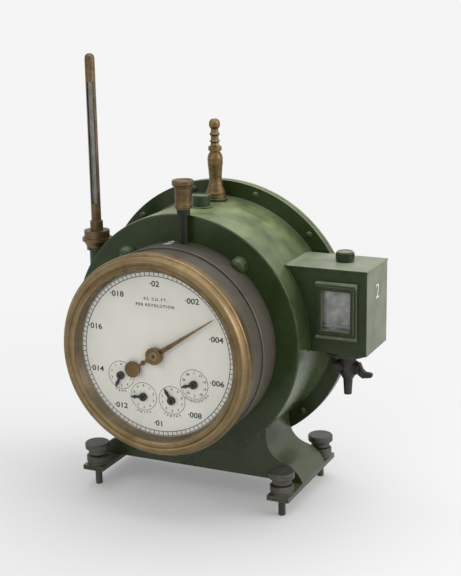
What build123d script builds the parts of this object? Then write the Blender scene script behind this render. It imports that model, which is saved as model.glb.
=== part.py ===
from build123d import *
import math
import os

os.makedirs("parts", exist_ok=True)

# Laboratory wet gas meter. Millimetres, +Z up, front towards -Y, origin on the floor
# midway between the four levelling screws. Heights marked "above the axis" count from AXIS_Z.

# Driving sizes
AXIS_Z = 133.5
CASE_RISE = 2.3
CASE_R = 95.8
CASE_WALL = 3.0
CASE_FRONT = -41.0
FLANGE_FRONT = 30.0
FLANGE_W = 14.4
FLANGE_T = 3.4
GASKET_T = 1.0
COVER_T = 3.6
SEAT = 0.05
RUN = 0.06

CASE_Z = AXIS_Z + CASE_RISE
CASE_TOP = CASE_Z + CASE_R
CASE_IN_R = CASE_R - CASE_WALL
FLANGE_R = CASE_R + FLANGE_W
GASKET_FRONT = FLANGE_FRONT + FLANGE_T
COVER_FRONT = GASKET_FRONT + GASKET_T
COVER_BACK = COVER_FRONT + COVER_T

# Cover bolts
BOLTS = 12
BOLT_START = 12.8
BOLT_RING_R = CASE_R + 0.58 * FLANGE_W
BOLT_R = 1.5
BOLT_HEAD_R = 2.8
BOLT_HEAD_T = 2.6

# Dial housing, bezel and dial
CASE_SHOULDER = 20.5
HOUSING_WALL = 2.3
HOUSING_DEPTH = 44.2
HOUSING_R = CASE_R - CASE_SHOULDER
HOUSING_RING_R = HOUSING_R + 1.7
HOUSING_IN_R = HOUSING_R - HOUSING_WALL
HOUSING_FRONT = CASE_FRONT - HOUSING_DEPTH
HOUSING_STEP = CASE_FRONT - HOUSING_DEPTH * 0.51
BEZEL_STEP = 2.7
BEZEL_R = HOUSING_R + BEZEL_STEP
BEZEL_FRONT = HOUSING_FRONT - 12.0
BEZEL_WALL = 1.6
GLASS_R = HOUSING_IN_R - BEZEL_WALL
GLASS_T = 2.0
GLASS_FRONT = BEZEL_FRONT + 2.0
GLASS_BACK = GLASS_FRONT + GLASS_T
BEZEL_LIP_R = GLASS_R - 3.7
DIAL_R = GLASS_R - 1.0
DIAL_OPENING_R = DIAL_R - 6.4
DIAL_FRONT = HOUSING_FRONT - 1.6
DIAL_T = 0.8
DOME_NUT_R = 7.0
DOME_NUT_RING_R = HOUSING_RING_R + 1.4
DOME_NUT_ANGLES = (52.2, 126.5, 270.0)

# Counter movement; each wheel and its pinion have STAGE_TEETH together
MODULE = 0.7227
STAGE_TEETH = 66
SUB_RING_R = 36.3
SUB_STEP = 2 * math.degrees(math.asin(MODULE * STAGE_TEETH / 4 / SUB_RING_R))
PLATE_R = DIAL_R - 8.4
PLATE_T = 1.5
FRONT_PLATE_Y = DIAL_FRONT + DIAL_T
BACK_PLATE_Y = CASE_FRONT - 22.8
ARBOR_R = 1.2
GEAR_T = 1.6

# Drum
DRUM_GAP = 6.8
DRUM_R = CASE_IN_R - DRUM_GAP
DRUM_FRONT = CASE_FRONT + 10.0
DRUM_BACK = FLANGE_FRONT - 8.0
HOOD_Y = DRUM_BACK - 14.0
DRUM_SKIN = 1.0
DRUM_TUBE_R = 13.0
HOOD_OPENING_R = 30.0
BLADES = 4
BLADE_TWIST = 70.0
SHAFT_R = 4.0
JOURNAL_R = 3.0
STAFF_R = 2.0
BUSH_R = 8.0

# Level box on the right of the casing
BOX_REACH = 45.9
BOX_ROOT = CASE_R * 0.6
BOX_RIGHT = CASE_R + BOX_REACH
BOX_FRONT = CASE_FRONT + 19.8
BOX_BACK = FLANGE_FRONT - BOLT_HEAD_T - 0.6
BOX_MID_Y = (BOX_FRONT + BOX_BACK) / 2
BOX_TOP = AXIS_Z + 60.4
BOX_BOTTOM = AXIS_Z - 5.0
BOX_WALL = 2.0
WINDOW_X = BOX_RIGHT - 23.2
WINDOW_W = 23.0
WINDOW_LOW = BOX_BOTTOM + 18.4
WINDOW_HIGH = BOX_TOP - 16.2
FRAME_W = 31.8
FRAME_LOW = BOX_BOTTOM + 11.6
FRAME_HIGH = BOX_TOP - 10.0
BOX_PLUG_X = BOX_RIGHT - 27.1
BOX_PLUG_Y = BOX_MID_Y + 4.0

# Drain cock under the level box
DRAIN_X = BOX_RIGHT - 22.9
DRAIN_Y = BOX_MID_Y + 0.6
DRAIN_FLANGE_R = 18.4
DRAIN_FLANGE_T = 6.6
COCK_Z = BOX_BOTTOM - 17.6
KEY_R = 3.6

# Top fittings
OUTLET_X = 1.5
OUTLET_Y = FLANGE_FRONT - 11.7
OUTLET_SEAT = CASE_TOP + 2.1
OUTLET_L = 62.6
INLET_L = 42.0
TOP_PLUG_X = 2.0
TOP_PLUG_Y = -9.5
FILLER_X = 5.2
FILLER_Y = CASE_FRONT - 5.7
FILLER_R = 3.2
FILLER_BORE_R = 2.2
FILLER_LOW = AXIS_Z + HOUSING_IN_R - 7.0
FILLER_CUP = CASE_TOP + 5.5
FILLER_RIM = FILLER_CUP + 17.4

# Thermometer
THERMO_X = 8.8 - CASE_R
THERMO_Y = CASE_FRONT + 21.8
POCKET_TOP = CASE_Z + 0.623 * CASE_R
POCKET_LOW = CASE_Z + 0.331 * CASE_R
POCKET_R = 6.5
POCKET_BORE_R = 4.6
GUARD_R = 3.9
GUARD_BORE_R = 3.0
GUARD_LOW = POCKET_TOP + 14.0
THERMO_TOP = GUARD_LOW + 139.0
SLOT_LOW = GUARD_LOW + 21.0
SLOT_HIGH = THERMO_TOP - 22.0
STEM_R = 2.7
SLOT_W = 5.4
SLOT_TURN = 22.0

# Inlet on the rear cover
INLET_X = 16.0
INLET_Z = AXIS_Z - 12.0
INLET_R = 4.5
INLET_BORE_R = 3.3

# Stand
FOOT_X = 81.5
FOOT_BAR_W = 18.0
FOOT_BAR_L = 102.0
FOOT_Y = (FOOT_BAR_L - FOOT_BAR_W) / 2
FOOT_BAR_LOW = 14.2
FOOT_BAR_T = 3.8
FOOT_BAR_TOP = FOOT_BAR_LOW + FOOT_BAR_T
OUTER_X = FOOT_X + FOOT_BAR_W / 2
STAND_HEAD_X = CASE_R * 0.62
STAND_HEAD_Z = CASE_Z - CASE_R * 0.776
STAND_FRONT = CASE_FRONT + 20.8
STAND_BACK = FLANGE_FRONT - 2.0
STAND_SHEET = 2.5
SCREW_R = 2.6
SCREW_HEAD_R = 10.1
LOCK_NUT_R = 9.2
LOCK_NUT_T = 7.6
SCREW_TOP = FOOT_BAR_TOP + LOCK_NUT_T + 10.6


def save(shape, name):
    export_step(shape, f"parts/{name}.step")


def rod_y(radius, y0, y1, x=0.0, z=AXIS_Z):
    """Cylinder lying along Y."""
    return extrude(Plane(origin=(x, y0, z), z_dir=(0, 1, 0)) * Circle(radius), y1 - y0)


def rod_x(radius, x0, x1, y, z):
    """Cylinder lying along X."""
    return extrude(Plane(origin=(x0, y, z), z_dir=(1, 0, 0)) * Circle(radius), x1 - x0)


def rod_z(radius, z0, z1, x, y):
    """Upright cylinder."""
    return Pos(x, y, z0) * extrude(Circle(radius), z1 - z0)


def turned_y(profile, x=0.0, z=AXIS_Z):
    """Turned piece on an axis along Y; profile is (radius, y)."""
    return Pos(x, 0, z) * revolve(make_face(Polyline(*profile, close=True)), Axis.Y)


def turned_z(profile, x, y):
    """Turned piece on an upright axis; profile is (radius, z)."""
    return Pos(x, y, 0) * revolve(Plane.XZ * make_face(Polyline(*profile, close=True)), Axis.Z)


def block(x0, x1, y0, y1, z0, z1):
    centre = ((x0 + x1) / 2, (y0 + y1) / 2, (z0 + z1) / 2)
    return Pos(*centre) * Box(x1 - x0, y1 - y0, z1 - z0)


def on_ring(radius, angle, z=AXIS_Z):
    turn = math.radians(angle)
    return radius * math.cos(turn), z + radius * math.sin(turn)


def group(pieces):
    return Compound(children=list(pieces))


# Drum casing: one casting with its rear flange and the bosses for the top fittings
window_port = block(CASE_R * 0.8, CASE_R + 4, BOX_FRONT + 8, BOX_BACK - 8, BOX_BOTTOM + 9, BOX_TOP - 12)
bolt_places = [on_ring(BOLT_RING_R, BOLT_START + 360 / BOLTS * i, CASE_Z) for i in range(BOLTS)]
casing = turned_y([
    (0, CASE_FRONT),
    (CASE_R - 1.5, CASE_FRONT),
    (CASE_R - 0.4, CASE_FRONT + 0.4),
    (CASE_R, CASE_FRONT + 1.5),
    (CASE_R, FLANGE_FRONT - 2),
    (CASE_R + 2, FLANGE_FRONT),
    (FLANGE_R, FLANGE_FRONT),
    (FLANGE_R, GASKET_FRONT),
    (CASE_IN_R, GASKET_FRONT),
    (CASE_IN_R, CASE_FRONT + CASE_WALL),
    (0, CASE_FRONT + CASE_WALL),
], z=CASE_Z)
casing_room = rod_y(CASE_IN_R, CASE_FRONT + CASE_WALL, GASKET_FRONT, z=CASE_Z)
bosses = rod_z(9.4, CASE_TOP - 6, OUTLET_SEAT, OUTLET_X, OUTLET_Y)
bosses += rod_z(9.2, CASE_TOP - 6, CASE_TOP + 0.7, TOP_PLUG_X, TOP_PLUG_Y)
casing += bosses - casing_room
casing -= rod_z(3.0, CASE_TOP - 10, OUTLET_SEAT + 1, OUTLET_X, OUTLET_Y)
casing -= rod_z(5.0, CASE_TOP - 10, CASE_TOP + 2, TOP_PLUG_X, TOP_PLUG_Y)
casing -= rod_z(POCKET_R, POCKET_LOW, POCKET_TOP, THERMO_X, THERMO_Y)
casing -= rod_y(BUSH_R, CASE_FRONT - 1, CASE_FRONT + CASE_WALL + 1)
casing -= rod_y(FILLER_R, CASE_FRONT - 1, CASE_FRONT + CASE_WALL + 1, FILLER_X, FILLER_LOW)
casing -= window_port
for px, pz in bolt_places:
    casing -= rod_y(BOLT_R, FLANGE_FRONT - 1, GASKET_FRONT + 1, px, pz)
save(casing, "drum_casing")

gasket = rod_y(FLANGE_R - 0.9, GASKET_FRONT, COVER_FRONT, z=CASE_Z)
gasket -= rod_y(CASE_IN_R, GASKET_FRONT - 1, COVER_FRONT + 1, z=CASE_Z)
cover = rod_y(FLANGE_R, COVER_FRONT, COVER_BACK, z=CASE_Z)
cover += rod_y(15.0, COVER_BACK, COVER_BACK + 4)
cover += rod_y(9.0, COVER_FRONT - 6, COVER_FRONT)
cover += rod_y(11.5, COVER_BACK, COVER_BACK + 4, INLET_X, INLET_Z)
cover -= rod_y(5.5, COVER_FRONT - 7, COVER_BACK + 1)
cover -= rod_y(INLET_R, COVER_FRONT - 7, COVER_BACK + 5, INLET_X, INLET_Z)
for px, pz in bolt_places:
    gasket -= rod_y(BOLT_R, GASKET_FRONT - 1, COVER_FRONT + 1, px, pz)
    cover -= rod_y(BOLT_R, COVER_FRONT - 1, COVER_BACK + 1, px, pz)
save(gasket, "rear_gasket")
save(cover, "rear_cover")


def cover_bolt(x, z):
    head = FLANGE_FRONT - BOLT_HEAD_T
    return turned_y([
        (0, head),
        (BOLT_HEAD_R * 0.55, head + 0.35),
        (BOLT_HEAD_R * 0.9, head + 1.1),
        (BOLT_HEAD_R, FLANGE_FRONT),
        (BOLT_R - SEAT, FLANGE_FRONT),
        (BOLT_R - SEAT, COVER_BACK + 4.4),
        (0, COVER_BACK + 4.4),
    ], x, z)


def cover_nut(x, z):
    nut = Plane(origin=(x, COVER_BACK, z), z_dir=(0, 1, 0)) * RegularPolygon(3.2, 6)
    return extrude(nut, 2.8) - rod_y(BOLT_R, COVER_BACK - 1, COVER_BACK + 4, x, z)


save(group(cover_bolt(x, z) for x, z in bolt_places), "cover_bolts")
save(group(cover_nut(x, z) for x, z in bolt_places), "cover_nuts")


# Bearings of the drum shaft
front_bush = turned_y([
    (JOURNAL_R + RUN, CASE_FRONT - 6),
    (BUSH_R - 1, CASE_FRONT - 6),
    (BUSH_R - 1, CASE_FRONT - 3),
    (BUSH_R + 4, CASE_FRONT - 3),
    (BUSH_R + 4, CASE_FRONT),
    (BUSH_R, CASE_FRONT),
    (BUSH_R, CASE_FRONT + 7),
    (JOURNAL_R + RUN, CASE_FRONT + 7),
])
save(front_bush, "front_bearing")
GLAND_BACK = CASE_FRONT - 6
gland = Plane(origin=(0, GLAND_BACK - 5, AXIS_Z), z_dir=(0, 1, 0)) * RegularPolygon(8.5, 6)
gland = extrude(gland, 5)
gland -= rod_y(JOURNAL_R + RUN, GLAND_BACK - 6, GLAND_BACK + 1)
save(gland, "gland_nut")
rear_bush = turned_y([
    (0, COVER_BACK),
    (5.5, COVER_BACK),
    (5.5, COVER_FRONT - 8),
    (JOURNAL_R + RUN, COVER_FRONT - 8),
    (JOURNAL_R + RUN, COVER_BACK - 2),
    (0, COVER_BACK - 2),
])
save(rear_bush, "rear_bearing")


# Dial housing: one drawn and turned drum with a stepped rear ring
nut_places = [on_ring(DOME_NUT_RING_R, angle) for angle in DOME_NUT_ANGLES]
housing = turned_y([
    (HOUSING_IN_R, HOUSING_FRONT),
    (HOUSING_R, HOUSING_FRONT),
    (HOUSING_R, HOUSING_STEP),
    (HOUSING_RING_R - 0.4, HOUSING_STEP),
    (HOUSING_RING_R, HOUSING_STEP + 0.6),
    (HOUSING_RING_R, CASE_FRONT),
    (HOUSING_IN_R, CASE_FRONT),
])
for nx, nz in nut_places:
    housing -= rod_y(DOME_NUT_R + 0.15, HOUSING_STEP + 12, CASE_FRONT + 1, nx, nz)
housing -= rod_z(FILLER_R, FILLER_LOW, CASE_TOP, FILLER_X, FILLER_Y)
save(housing, "dial_housing")


def dome_nut(x, z):
    front = CASE_FRONT - 7.4
    return turned_y([
        (0, front),
        (DOME_NUT_R * 0.34, front + 0.35),
        (DOME_NUT_R * 0.64, front + 1.5),
        (DOME_NUT_R * 0.83, front + 3.2),
        (DOME_NUT_R * 0.9, CASE_FRONT - 2),
        (DOME_NUT_R, CASE_FRONT - 2),
        (DOME_NUT_R, CASE_FRONT),
        (0, CASE_FRONT),
    ], x, z)


save(group(dome_nut(x, z) for x, z in nut_places), "housing_dome_nuts")

bezel = turned_y([
    (BEZEL_R, HOUSING_FRONT),
    (BEZEL_R, BEZEL_FRONT + 6.6),
    (BEZEL_R - 0.5, BEZEL_FRONT + 5.7),
    (BEZEL_R - 1.3, BEZEL_FRONT + 5.4),
    (BEZEL_R - 1.7, BEZEL_FRONT + 4.9),
    (BEZEL_R - 2.2, BEZEL_FRONT + 2.9),
    (BEZEL_R - 3.2, BEZEL_FRONT + 1.2),
    (BEZEL_R - 4.6, BEZEL_FRONT + 0.25),
    (BEZEL_R - 6.0, BEZEL_FRONT),
    (BEZEL_R - 7.3, BEZEL_FRONT + 0.4),
    (BEZEL_R - 8.0, BEZEL_FRONT + 1.3),
    (BEZEL_R - 8.3, BEZEL_FRONT + 1.3),
    (BEZEL_R - 8.9, BEZEL_FRONT + 0.7),
    (BEZEL_R - 9.7, BEZEL_FRONT + 0.8),
    (BEZEL_LIP_R, BEZEL_FRONT + 1.5),
    (BEZEL_LIP_R, GLASS_FRONT),
    (GLASS_R + SEAT, GLASS_FRONT),
    (GLASS_R + SEAT, HOUSING_FRONT + 5),
    (HOUSING_IN_R - SEAT, HOUSING_FRONT + 5),
    (HOUSING_IN_R - SEAT, HOUSING_FRONT),
])
save(bezel, "dial_bezel")
save(rod_y(GLASS_R, GLASS_FRONT, GLASS_BACK), "dial_glass")
inner_ring = turned_y([
    (GLASS_R, GLASS_BACK),
    (BEZEL_LIP_R - 0.6, GLASS_BACK),
    (DIAL_OPENING_R, DIAL_FRONT - 0.6),
    (DIAL_OPENING_R, DIAL_FRONT),
    (GLASS_R, DIAL_FRONT),
])
save(inner_ring, "dial_inner_ring")


# Counter: the four register arbors stand on an arc below the centre
def counter_place(step):
    return on_ring(SUB_RING_R, -90 + SUB_STEP * step)


HUNDREDTHS = counter_place(1.5)
TENTHS = counter_place(0.5)
UNITS = counter_place(-0.5)
TENS = counter_place(-1.5)
LINK_REACH = MODULE * (12 + 48) / 2
LINK_BACK = MODULE * (12 + 30) / 2
link_span = math.hypot(HUNDREDTHS[0], HUNDREDTHS[1] - AXIS_Z)
link_turn = math.atan2(HUNDREDTHS[1] - AXIS_Z, HUNDREDTHS[0])
link_off = math.acos((LINK_REACH ** 2 + link_span ** 2 - LINK_BACK ** 2) / (2 * LINK_REACH * link_span))
LINK = (
    LINK_REACH * math.cos(link_turn + link_off),
    AXIS_Z + LINK_REACH * math.sin(link_turn + link_off),
)
CENTRE = (0.0, AXIS_Z)
ARBORS = (HUNDREDTHS, TENTHS, UNITS, TENS)


def gear(teeth, place, y0, y1, phase):
    """Spur wheel with pointed clock teeth; phase is the angle of one tooth in radians."""
    pitch_r = MODULE * teeth / 2
    tip_r = pitch_r + MODULE * 0.85
    root_r = pitch_r - MODULE * 1.15
    half_foot = math.pi / teeth * 0.62
    outline = []
    for i in range(teeth):
        mid = phase + 2 * math.pi * i / teeth
        for radius, turn in ((root_r, mid - half_foot), (tip_r, mid), (root_r, mid + half_foot)):
            outline.append((place[0] + radius * math.cos(turn), place[1] + radius * math.sin(turn)))
    wires = Polyline(*[(x, y0, z) for x, z in outline], close=True)
    return extrude(make_face(wires), amount=y1 - y0, dir=(0, 1, 0))


def meshed(driver, driver_teeth, driver_phase, driven, driven_teeth):
    """Phase that puts a gap of the driven wheel on the driver's tooth line."""
    line = math.atan2(driven[1] - driver[1], driven[0] - driver[0])
    lead = (line - driver_phase) * driver_teeth / (2 * math.pi)
    slack = lead - math.floor(lead)
    return line + math.pi + (slack + 0.5) * 2 * math.pi / driven_teeth


LINK_WHEEL_Y = BACK_PLATE_Y + 3.8
LAYERS = [BACK_PLATE_Y - 3.4 - 3.8 * i for i in range(4)]
phase_link = meshed(CENTRE, 12, 0.0, LINK, 48)
phase_hundredths = meshed(LINK, 12, phase_link, HUNDREDTHS, 30)
phase_tenths = meshed(HUNDREDTHS, 11, phase_hundredths, TENTHS, 55)
phase_units = meshed(TENTHS, 6, phase_tenths, UNITS, 60)
phase_tens = meshed(UNITS, 6, phase_units, TENS, 60)

counter_front = rod_y(PLATE_R, FRONT_PLATE_Y, FRONT_PLATE_Y + PLATE_T)
counter_back = rod_y(PLATE_R, BACK_PLATE_Y, BACK_PLATE_Y + PLATE_T)
dial = rod_y(DIAL_R, DIAL_FRONT, DIAL_FRONT + DIAL_T)
for ax, az in ARBORS:
    counter_front -= rod_y(ARBOR_R + RUN, FRONT_PLATE_Y - 1, FRONT_PLATE_Y + PLATE_T + 1, ax, az)
    counter_back -= rod_y(ARBOR_R + RUN, BACK_PLATE_Y - 1, BACK_PLATE_Y + PLATE_T + 1, ax, az)
    dial -= rod_y(ARBOR_R + 0.3, DIAL_FRONT - 1, DIAL_FRONT + DIAL_T + 1, ax, az)
counter_front -= rod_y(STAFF_R + RUN, FRONT_PLATE_Y - 1, FRONT_PLATE_Y + PLATE_T + 1)
counter_front -= rod_y(ARBOR_R + RUN, FRONT_PLATE_Y + 0.5, FRONT_PLATE_Y + PLATE_T + 1, *LINK)
counter_back -= rod_y(JOURNAL_R + 0.3, BACK_PLATE_Y - 1, BACK_PLATE_Y + PLATE_T + 1)
counter_back -= rod_y(ARBOR_R + RUN, BACK_PLATE_Y - 1, BACK_PLATE_Y + PLATE_T + 1, *LINK)
dial -= rod_y(STAFF_R + 0.4, DIAL_FRONT - 1, DIAL_FRONT + DIAL_T + 1)
save(counter_front, "counter_front_plate")
save(counter_back, "counter_back_plate")
save(dial, "dial_plate")
pillar_places = [on_ring(PLATE_R - 4, angle) for angle in (0, 60, 120, 180, 270)]
pillars = [rod_y(2.6, FRONT_PLATE_Y + PLATE_T, BACK_PLATE_Y, x, z) for x, z in pillar_places]
posts = [rod_y(3.4, BACK_PLATE_Y + PLATE_T, CASE_FRONT, x, z) for x, z in pillar_places]
save(group(pillars + posts), "counter_pillars")


def register_arbor(place, wheel, pinion, phase, name):
    """Arbor with its wheel and pinion, (teeth, y) each, running from plate to plate."""
    arbor = rod_y(ARBOR_R, DIAL_FRONT - 2.2, BACK_PLATE_Y + PLATE_T + 0.6, *place)
    arbor += gear(wheel[0], place, wheel[1], wheel[1] + GEAR_T, phase)
    if pinion:
        arbor += gear(pinion[0], place, pinion[1], pinion[1] + GEAR_T + 0.8, phase)
    save(arbor, name)


register_arbor(HUNDREDTHS, (30, LAYERS[0]), (11, LAYERS[1] - 0.4), phase_hundredths, "hundredths_arbor")
register_arbor(TENTHS, (55, LAYERS[1]), (6, LAYERS[2] - 0.4), phase_tenths, "tenths_arbor")
register_arbor(UNITS, (60, LAYERS[2]), (6, LAYERS[3] - 0.4), phase_units, "units_arbor")
register_arbor(TENS, (60, LAYERS[3]), None, phase_tens, "tens_arbor")

link_arbor = rod_y(ARBOR_R, FRONT_PLATE_Y + 0.6, LINK_WHEEL_Y + GEAR_T, *LINK)
link_arbor += gear(48, LINK, LINK_WHEEL_Y, LINK_WHEEL_Y + GEAR_T, phase_link)
link_arbor += gear(12, LINK, LAYERS[0] - 0.4, LAYERS[0] + GEAR_T + 0.4, phase_link)
save(link_arbor, "link_arbor")

# Small black register hands, pushed on the arbor ends in front of the dial
SUB_HAND_L = 10.8
SUB_HAND_Y = DIAL_FRONT - 0.5
for place, angle, name in (
    (HUNDREDTHS, 196.0, "hundredths_hand"),
    (TENTHS, 122.0, "tenths_hand"),
    (UNITS, 184.0, "units_hand"),
    (TENS, 246.0, "tens_hand"),
):
    blade = Plane(origin=(0, 0, 0), x_dir=(1, 0, 0), z_dir=(0, -1, 0)) * make_face(Polyline(
        (0, -1.3), (SUB_HAND_L * 0.55, -0.9), (SUB_HAND_L * 0.6, -1.5), (SUB_HAND_L, 0),
        (SUB_HAND_L * 0.6, 1.5), (SUB_HAND_L * 0.55, 0.9), (0, 1.3), close=True))
    hand = Pos(0, -1.0, 0) * extrude(blade, 0.7)
    hand += rod_y(3.1, -2.0, 0, 0, 0)
    hand = Pos(place[0], SUB_HAND_Y, place[1]) * Rot(0, -angle, 0) * hand
    hand -= rod_y(ARBOR_R, SUB_HAND_Y - 3, SUB_HAND_Y + 1, *place)
    save(hand, name)

# Main hand: tapered pointer, hub, turned link and round counterweight in one piece
HUB_R = 6.7
HUB_FRONT = GLASS_BACK + 1.0
HUB_BACK = DIAL_FRONT - 0.6
HAND_ANGLE = 33.8
HAND_L = 58.3
WEIGHT_REACH = -22.7
WEIGHT_R = 6.2
hand = rod_y(HUB_R, HUB_FRONT, HUB_FRONT + 2.2, 0, 0)
hand += rod_y(3.8, HUB_FRONT + 2.2, HUB_BACK, 0, 0)
hand += rod_y(WEIGHT_R, HUB_FRONT + 0.8, HUB_FRONT + 2.6, WEIGHT_REACH, 0)
link_profile = Plane.XY * make_face(Polyline(
    (WEIGHT_REACH + 5, 0), (WEIGHT_REACH + 5, 0.9), (-12.6, 0.9), (-12.2, 1.9), (-11.2, 1.9),
    (-10.8, 1.1), (-8.4, 1.1), (-8.0, 1.7), (-5.5, 1.7), (-5.5, 0), close=True))
hand += Pos(0, HUB_FRONT + 2.0, 0) * revolve(link_profile, Axis.X)
pointer = Plane.XZ * make_face(Polyline(
    (4, -2.0), (14, -1.7), (HAND_L, -0.35), (HAND_L, 0.35), (14, 1.7), (4, 2.0), close=True))
hand += Pos(0, HUB_FRONT + 2.2, 0) * extrude(pointer, 1.0)
hand = Pos(0, 0, AXIS_Z) * Rot(0, -HAND_ANGLE, 0) * hand
hand -= rod_y(STAFF_R - 0.6, HUB_FRONT - 1, HUB_BACK + 1)
save(hand, "main_hand")

# Drum shaft: journals at both ends, thin staff through the counter to the hand
shaft = turned_y([
    (0, HUB_FRONT + 0.4),
    (STAFF_R - 0.6, HUB_FRONT + 0.4),
    (STAFF_R - 0.6, HUB_BACK),
    (STAFF_R, HUB_BACK),
    (STAFF_R, BACK_PLATE_Y - 3),
    (JOURNAL_R, BACK_PLATE_Y - 3),
    (JOURNAL_R, DRUM_FRONT - 2),
    (SHAFT_R, DRUM_FRONT - 2),
    (SHAFT_R, COVER_FRONT - 8.6),
    (JOURNAL_R, COVER_FRONT - 8.6),
    (JOURNAL_R, COVER_BACK - 2.3),
    (0, COVER_BACK - 2.3),
])
shaft += gear(12, CENTRE, LINK_WHEEL_Y - 0.4, LINK_WHEEL_Y + GEAR_T + 0.4, 0.0)
save(shaft, "drum_shaft")

# Measuring drum: skin, centre tube, four slanting blades and the rear hood
drum = rod_y(DRUM_R, DRUM_FRONT, DRUM_BACK)
drum -= rod_y(DRUM_R - DRUM_SKIN, DRUM_FRONT - 1, DRUM_BACK + 1)
tube = rod_y(DRUM_TUBE_R, DRUM_FRONT, HOOD_Y)
tube -= rod_y(DRUM_TUBE_R - DRUM_SKIN, DRUM_FRONT + DRUM_SKIN, HOOD_Y + 1)
drum += tube
STEPS = 4
BLADE_DEPTH = HOOD_Y - DRUM_FRONT
for i in range(BLADES):
    stations = []
    for k in range(STEPS + 1):
        turn = 360 / BLADES * i + BLADE_TWIST * k / STEPS
        slot = Plane(origin=(0, DRUM_FRONT + BLADE_DEPTH * k / STEPS, AXIS_Z), z_dir=(0, 1, 0))
        mid = (DRUM_TUBE_R + DRUM_R - DRUM_SKIN) / 2
        length = DRUM_R - DRUM_SKIN - DRUM_TUBE_R + 0.8
        stations.append(slot * Rot(0, 0, turn) * Pos(mid, 0) * Rectangle(length, 1.4))
    drum += loft(stations, ruled=True)
SECTOR = 52.0
for y, lead in ((DRUM_FRONT, 4.0), (HOOD_Y, BLADE_TWIST + 4.0)):
    for i in range(BLADES):
        turn = 360 / BLADES * i + lead
        wedge = make_face(Polyline(
            (0, 0), *[(DRUM_R * 1.3 * math.cos(math.radians(a)), DRUM_R * 1.3 * math.sin(math.radians(a)))
                      for a in (0, SECTOR / 2, SECTOR)], close=True))
        plane = Plane(origin=(0, y, AXIS_Z), z_dir=(0, 1, 0)) * Rot(0, 0, turn)
        leaf = extrude(plane * wedge, DRUM_SKIN)
        leaf &= rod_y(DRUM_R - 0.4, y, y + DRUM_SKIN) - rod_y(DRUM_TUBE_R - 0.4, y - 1, y + 3)
        drum += leaf
hood = rod_y(DRUM_R - 0.4, DRUM_BACK - DRUM_SKIN, DRUM_BACK)
hood -= rod_y(HOOD_OPENING_R, DRUM_BACK - 3, DRUM_BACK + 1)
drum += hood
drum -= rod_y(SHAFT_R, DRUM_FRONT - 1, DRUM_FRONT + 3)
save(drum, "measuring_drum")


# Hose tails: one profile for the outlet on top and the shorter inlet behind
def hose_profile(base, length, bore):
    stretch = length / OUTLET_L
    rungs = (
        (8.5, 0.0), (8.5, 2.2), (7.6, 2.8), (7.6, 3.6), (8.2, 4.2), (7.4, 6.0), (6.0, 9.0),
        (5.2, 12.8), (5.0, 16.0), (5.4, 22.0), (6.0, 27.5), (6.1, 32.0), (5.2, 35.0), (4.0, 36.6),
        (4.0, 37.2), (5.3, 37.9), (5.3, 40.9), (3.6, 41.8), (3.1, 43.6), (4.2, 45.2), (3.1, 46.6),
        (3.1, 49.0), (4.25, 50.8), (3.1, 52.2), (2.9, 54.6), (4.1, 56.4), (4.35, 57.2), (4.35, 59.4), (3.9, 61.0),
        (2.8, 62.2), (bore + 0.6, 62.6), (bore, 62.2),
    )
    return [(r, base + z * stretch) for r, z in rungs] + [(bore, base)]


save(turned_z(hose_profile(OUTLET_SEAT, OUTLET_L, 1.6), OUTLET_X, OUTLET_Y), "outlet_hose_tail")
save(turned_y(hose_profile(COVER_BACK + 4, INLET_L, 1.6), INLET_X, INLET_Z), "inlet_hose_tail")

pipe_corner = (INLET_X, (HOOD_Y + DRUM_BACK) / 2, INLET_Z)
pipe_path = Polyline(
    (INLET_X, COVER_BACK + 4, INLET_Z),
    pipe_corner,
    (INLET_X, pipe_corner[1], INLET_Z + 28),
)
pipe_path = fillet(pipe_path.vertices().sort_by_distance(pipe_corner)[0], 5.5)
pipe_end = Plane(origin=(INLET_X, COVER_BACK + 4, INLET_Z), z_dir=(0, -1, 0))
inlet_pipe = sweep(pipe_end * Circle(INLET_R), path=pipe_path)
inlet_pipe -= sweep(pipe_end * Circle(INLET_BORE_R), path=pipe_path)
save(inlet_pipe, "inlet_pipe")

# Casing plug: slotted cap on a short shank
top_plug = turned_z([
    (0, CASE_TOP - 3),
    (5.0 - SEAT, CASE_TOP - 3),
    (5.0 - SEAT, CASE_TOP + 0.7),
    (7.2, CASE_TOP + 0.7),
    (7.2, CASE_TOP + 8.6),
    (6.9, CASE_TOP + 9.4),
    (5.2, CASE_TOP + 9.8),
    (5.0, CASE_TOP + 9.0),
    (0, CASE_TOP + 9.0),
], TOP_PLUG_X, TOP_PLUG_Y)
save(top_plug, "casing_plug")

# Filler: pipe down the front of the casing, bent back through its wall, with a cap
filler_path = Polyline(
    (FILLER_X, FILLER_Y, FILLER_RIM),
    (FILLER_X, FILLER_Y, FILLER_LOW),
    (FILLER_X, CASE_FRONT + CASE_WALL, FILLER_LOW),
)
filler_path = fillet(filler_path.vertices().sort_by_distance((FILLER_X, FILLER_Y, FILLER_LOW))[0], 4.6)
filler_end = Plane(origin=(FILLER_X, FILLER_Y, FILLER_RIM), z_dir=(0, 0, -1))
filler = sweep(filler_end * Circle(FILLER_R), path=filler_path)
filler += turned_z([
    (0, FILLER_CUP - 5.0),
    (5.1, FILLER_CUP - 5.0),
    (5.1, FILLER_CUP - 0.2),
    (6.0, FILLER_CUP),
    (6.0, FILLER_CUP + 0.8),
    (6.6, FILLER_CUP + 1.2),
    (6.6, FILLER_CUP + 3.8),
    (6.2, FILLER_CUP + 4.2),
    (6.2, FILLER_RIM - 1.6),
    (6.5, FILLER_RIM - 1.2),
    (6.5, FILLER_RIM),
    (0, FILLER_RIM),
], FILLER_X, FILLER_Y)
filler -= sweep(filler_end * Circle(FILLER_BORE_R), path=filler_path)
filler -= rod_z(4.6, FILLER_CUP + 4.4, FILLER_RIM + 1, FILLER_X, FILLER_Y)
save(filler, "filler_tube")
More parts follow.
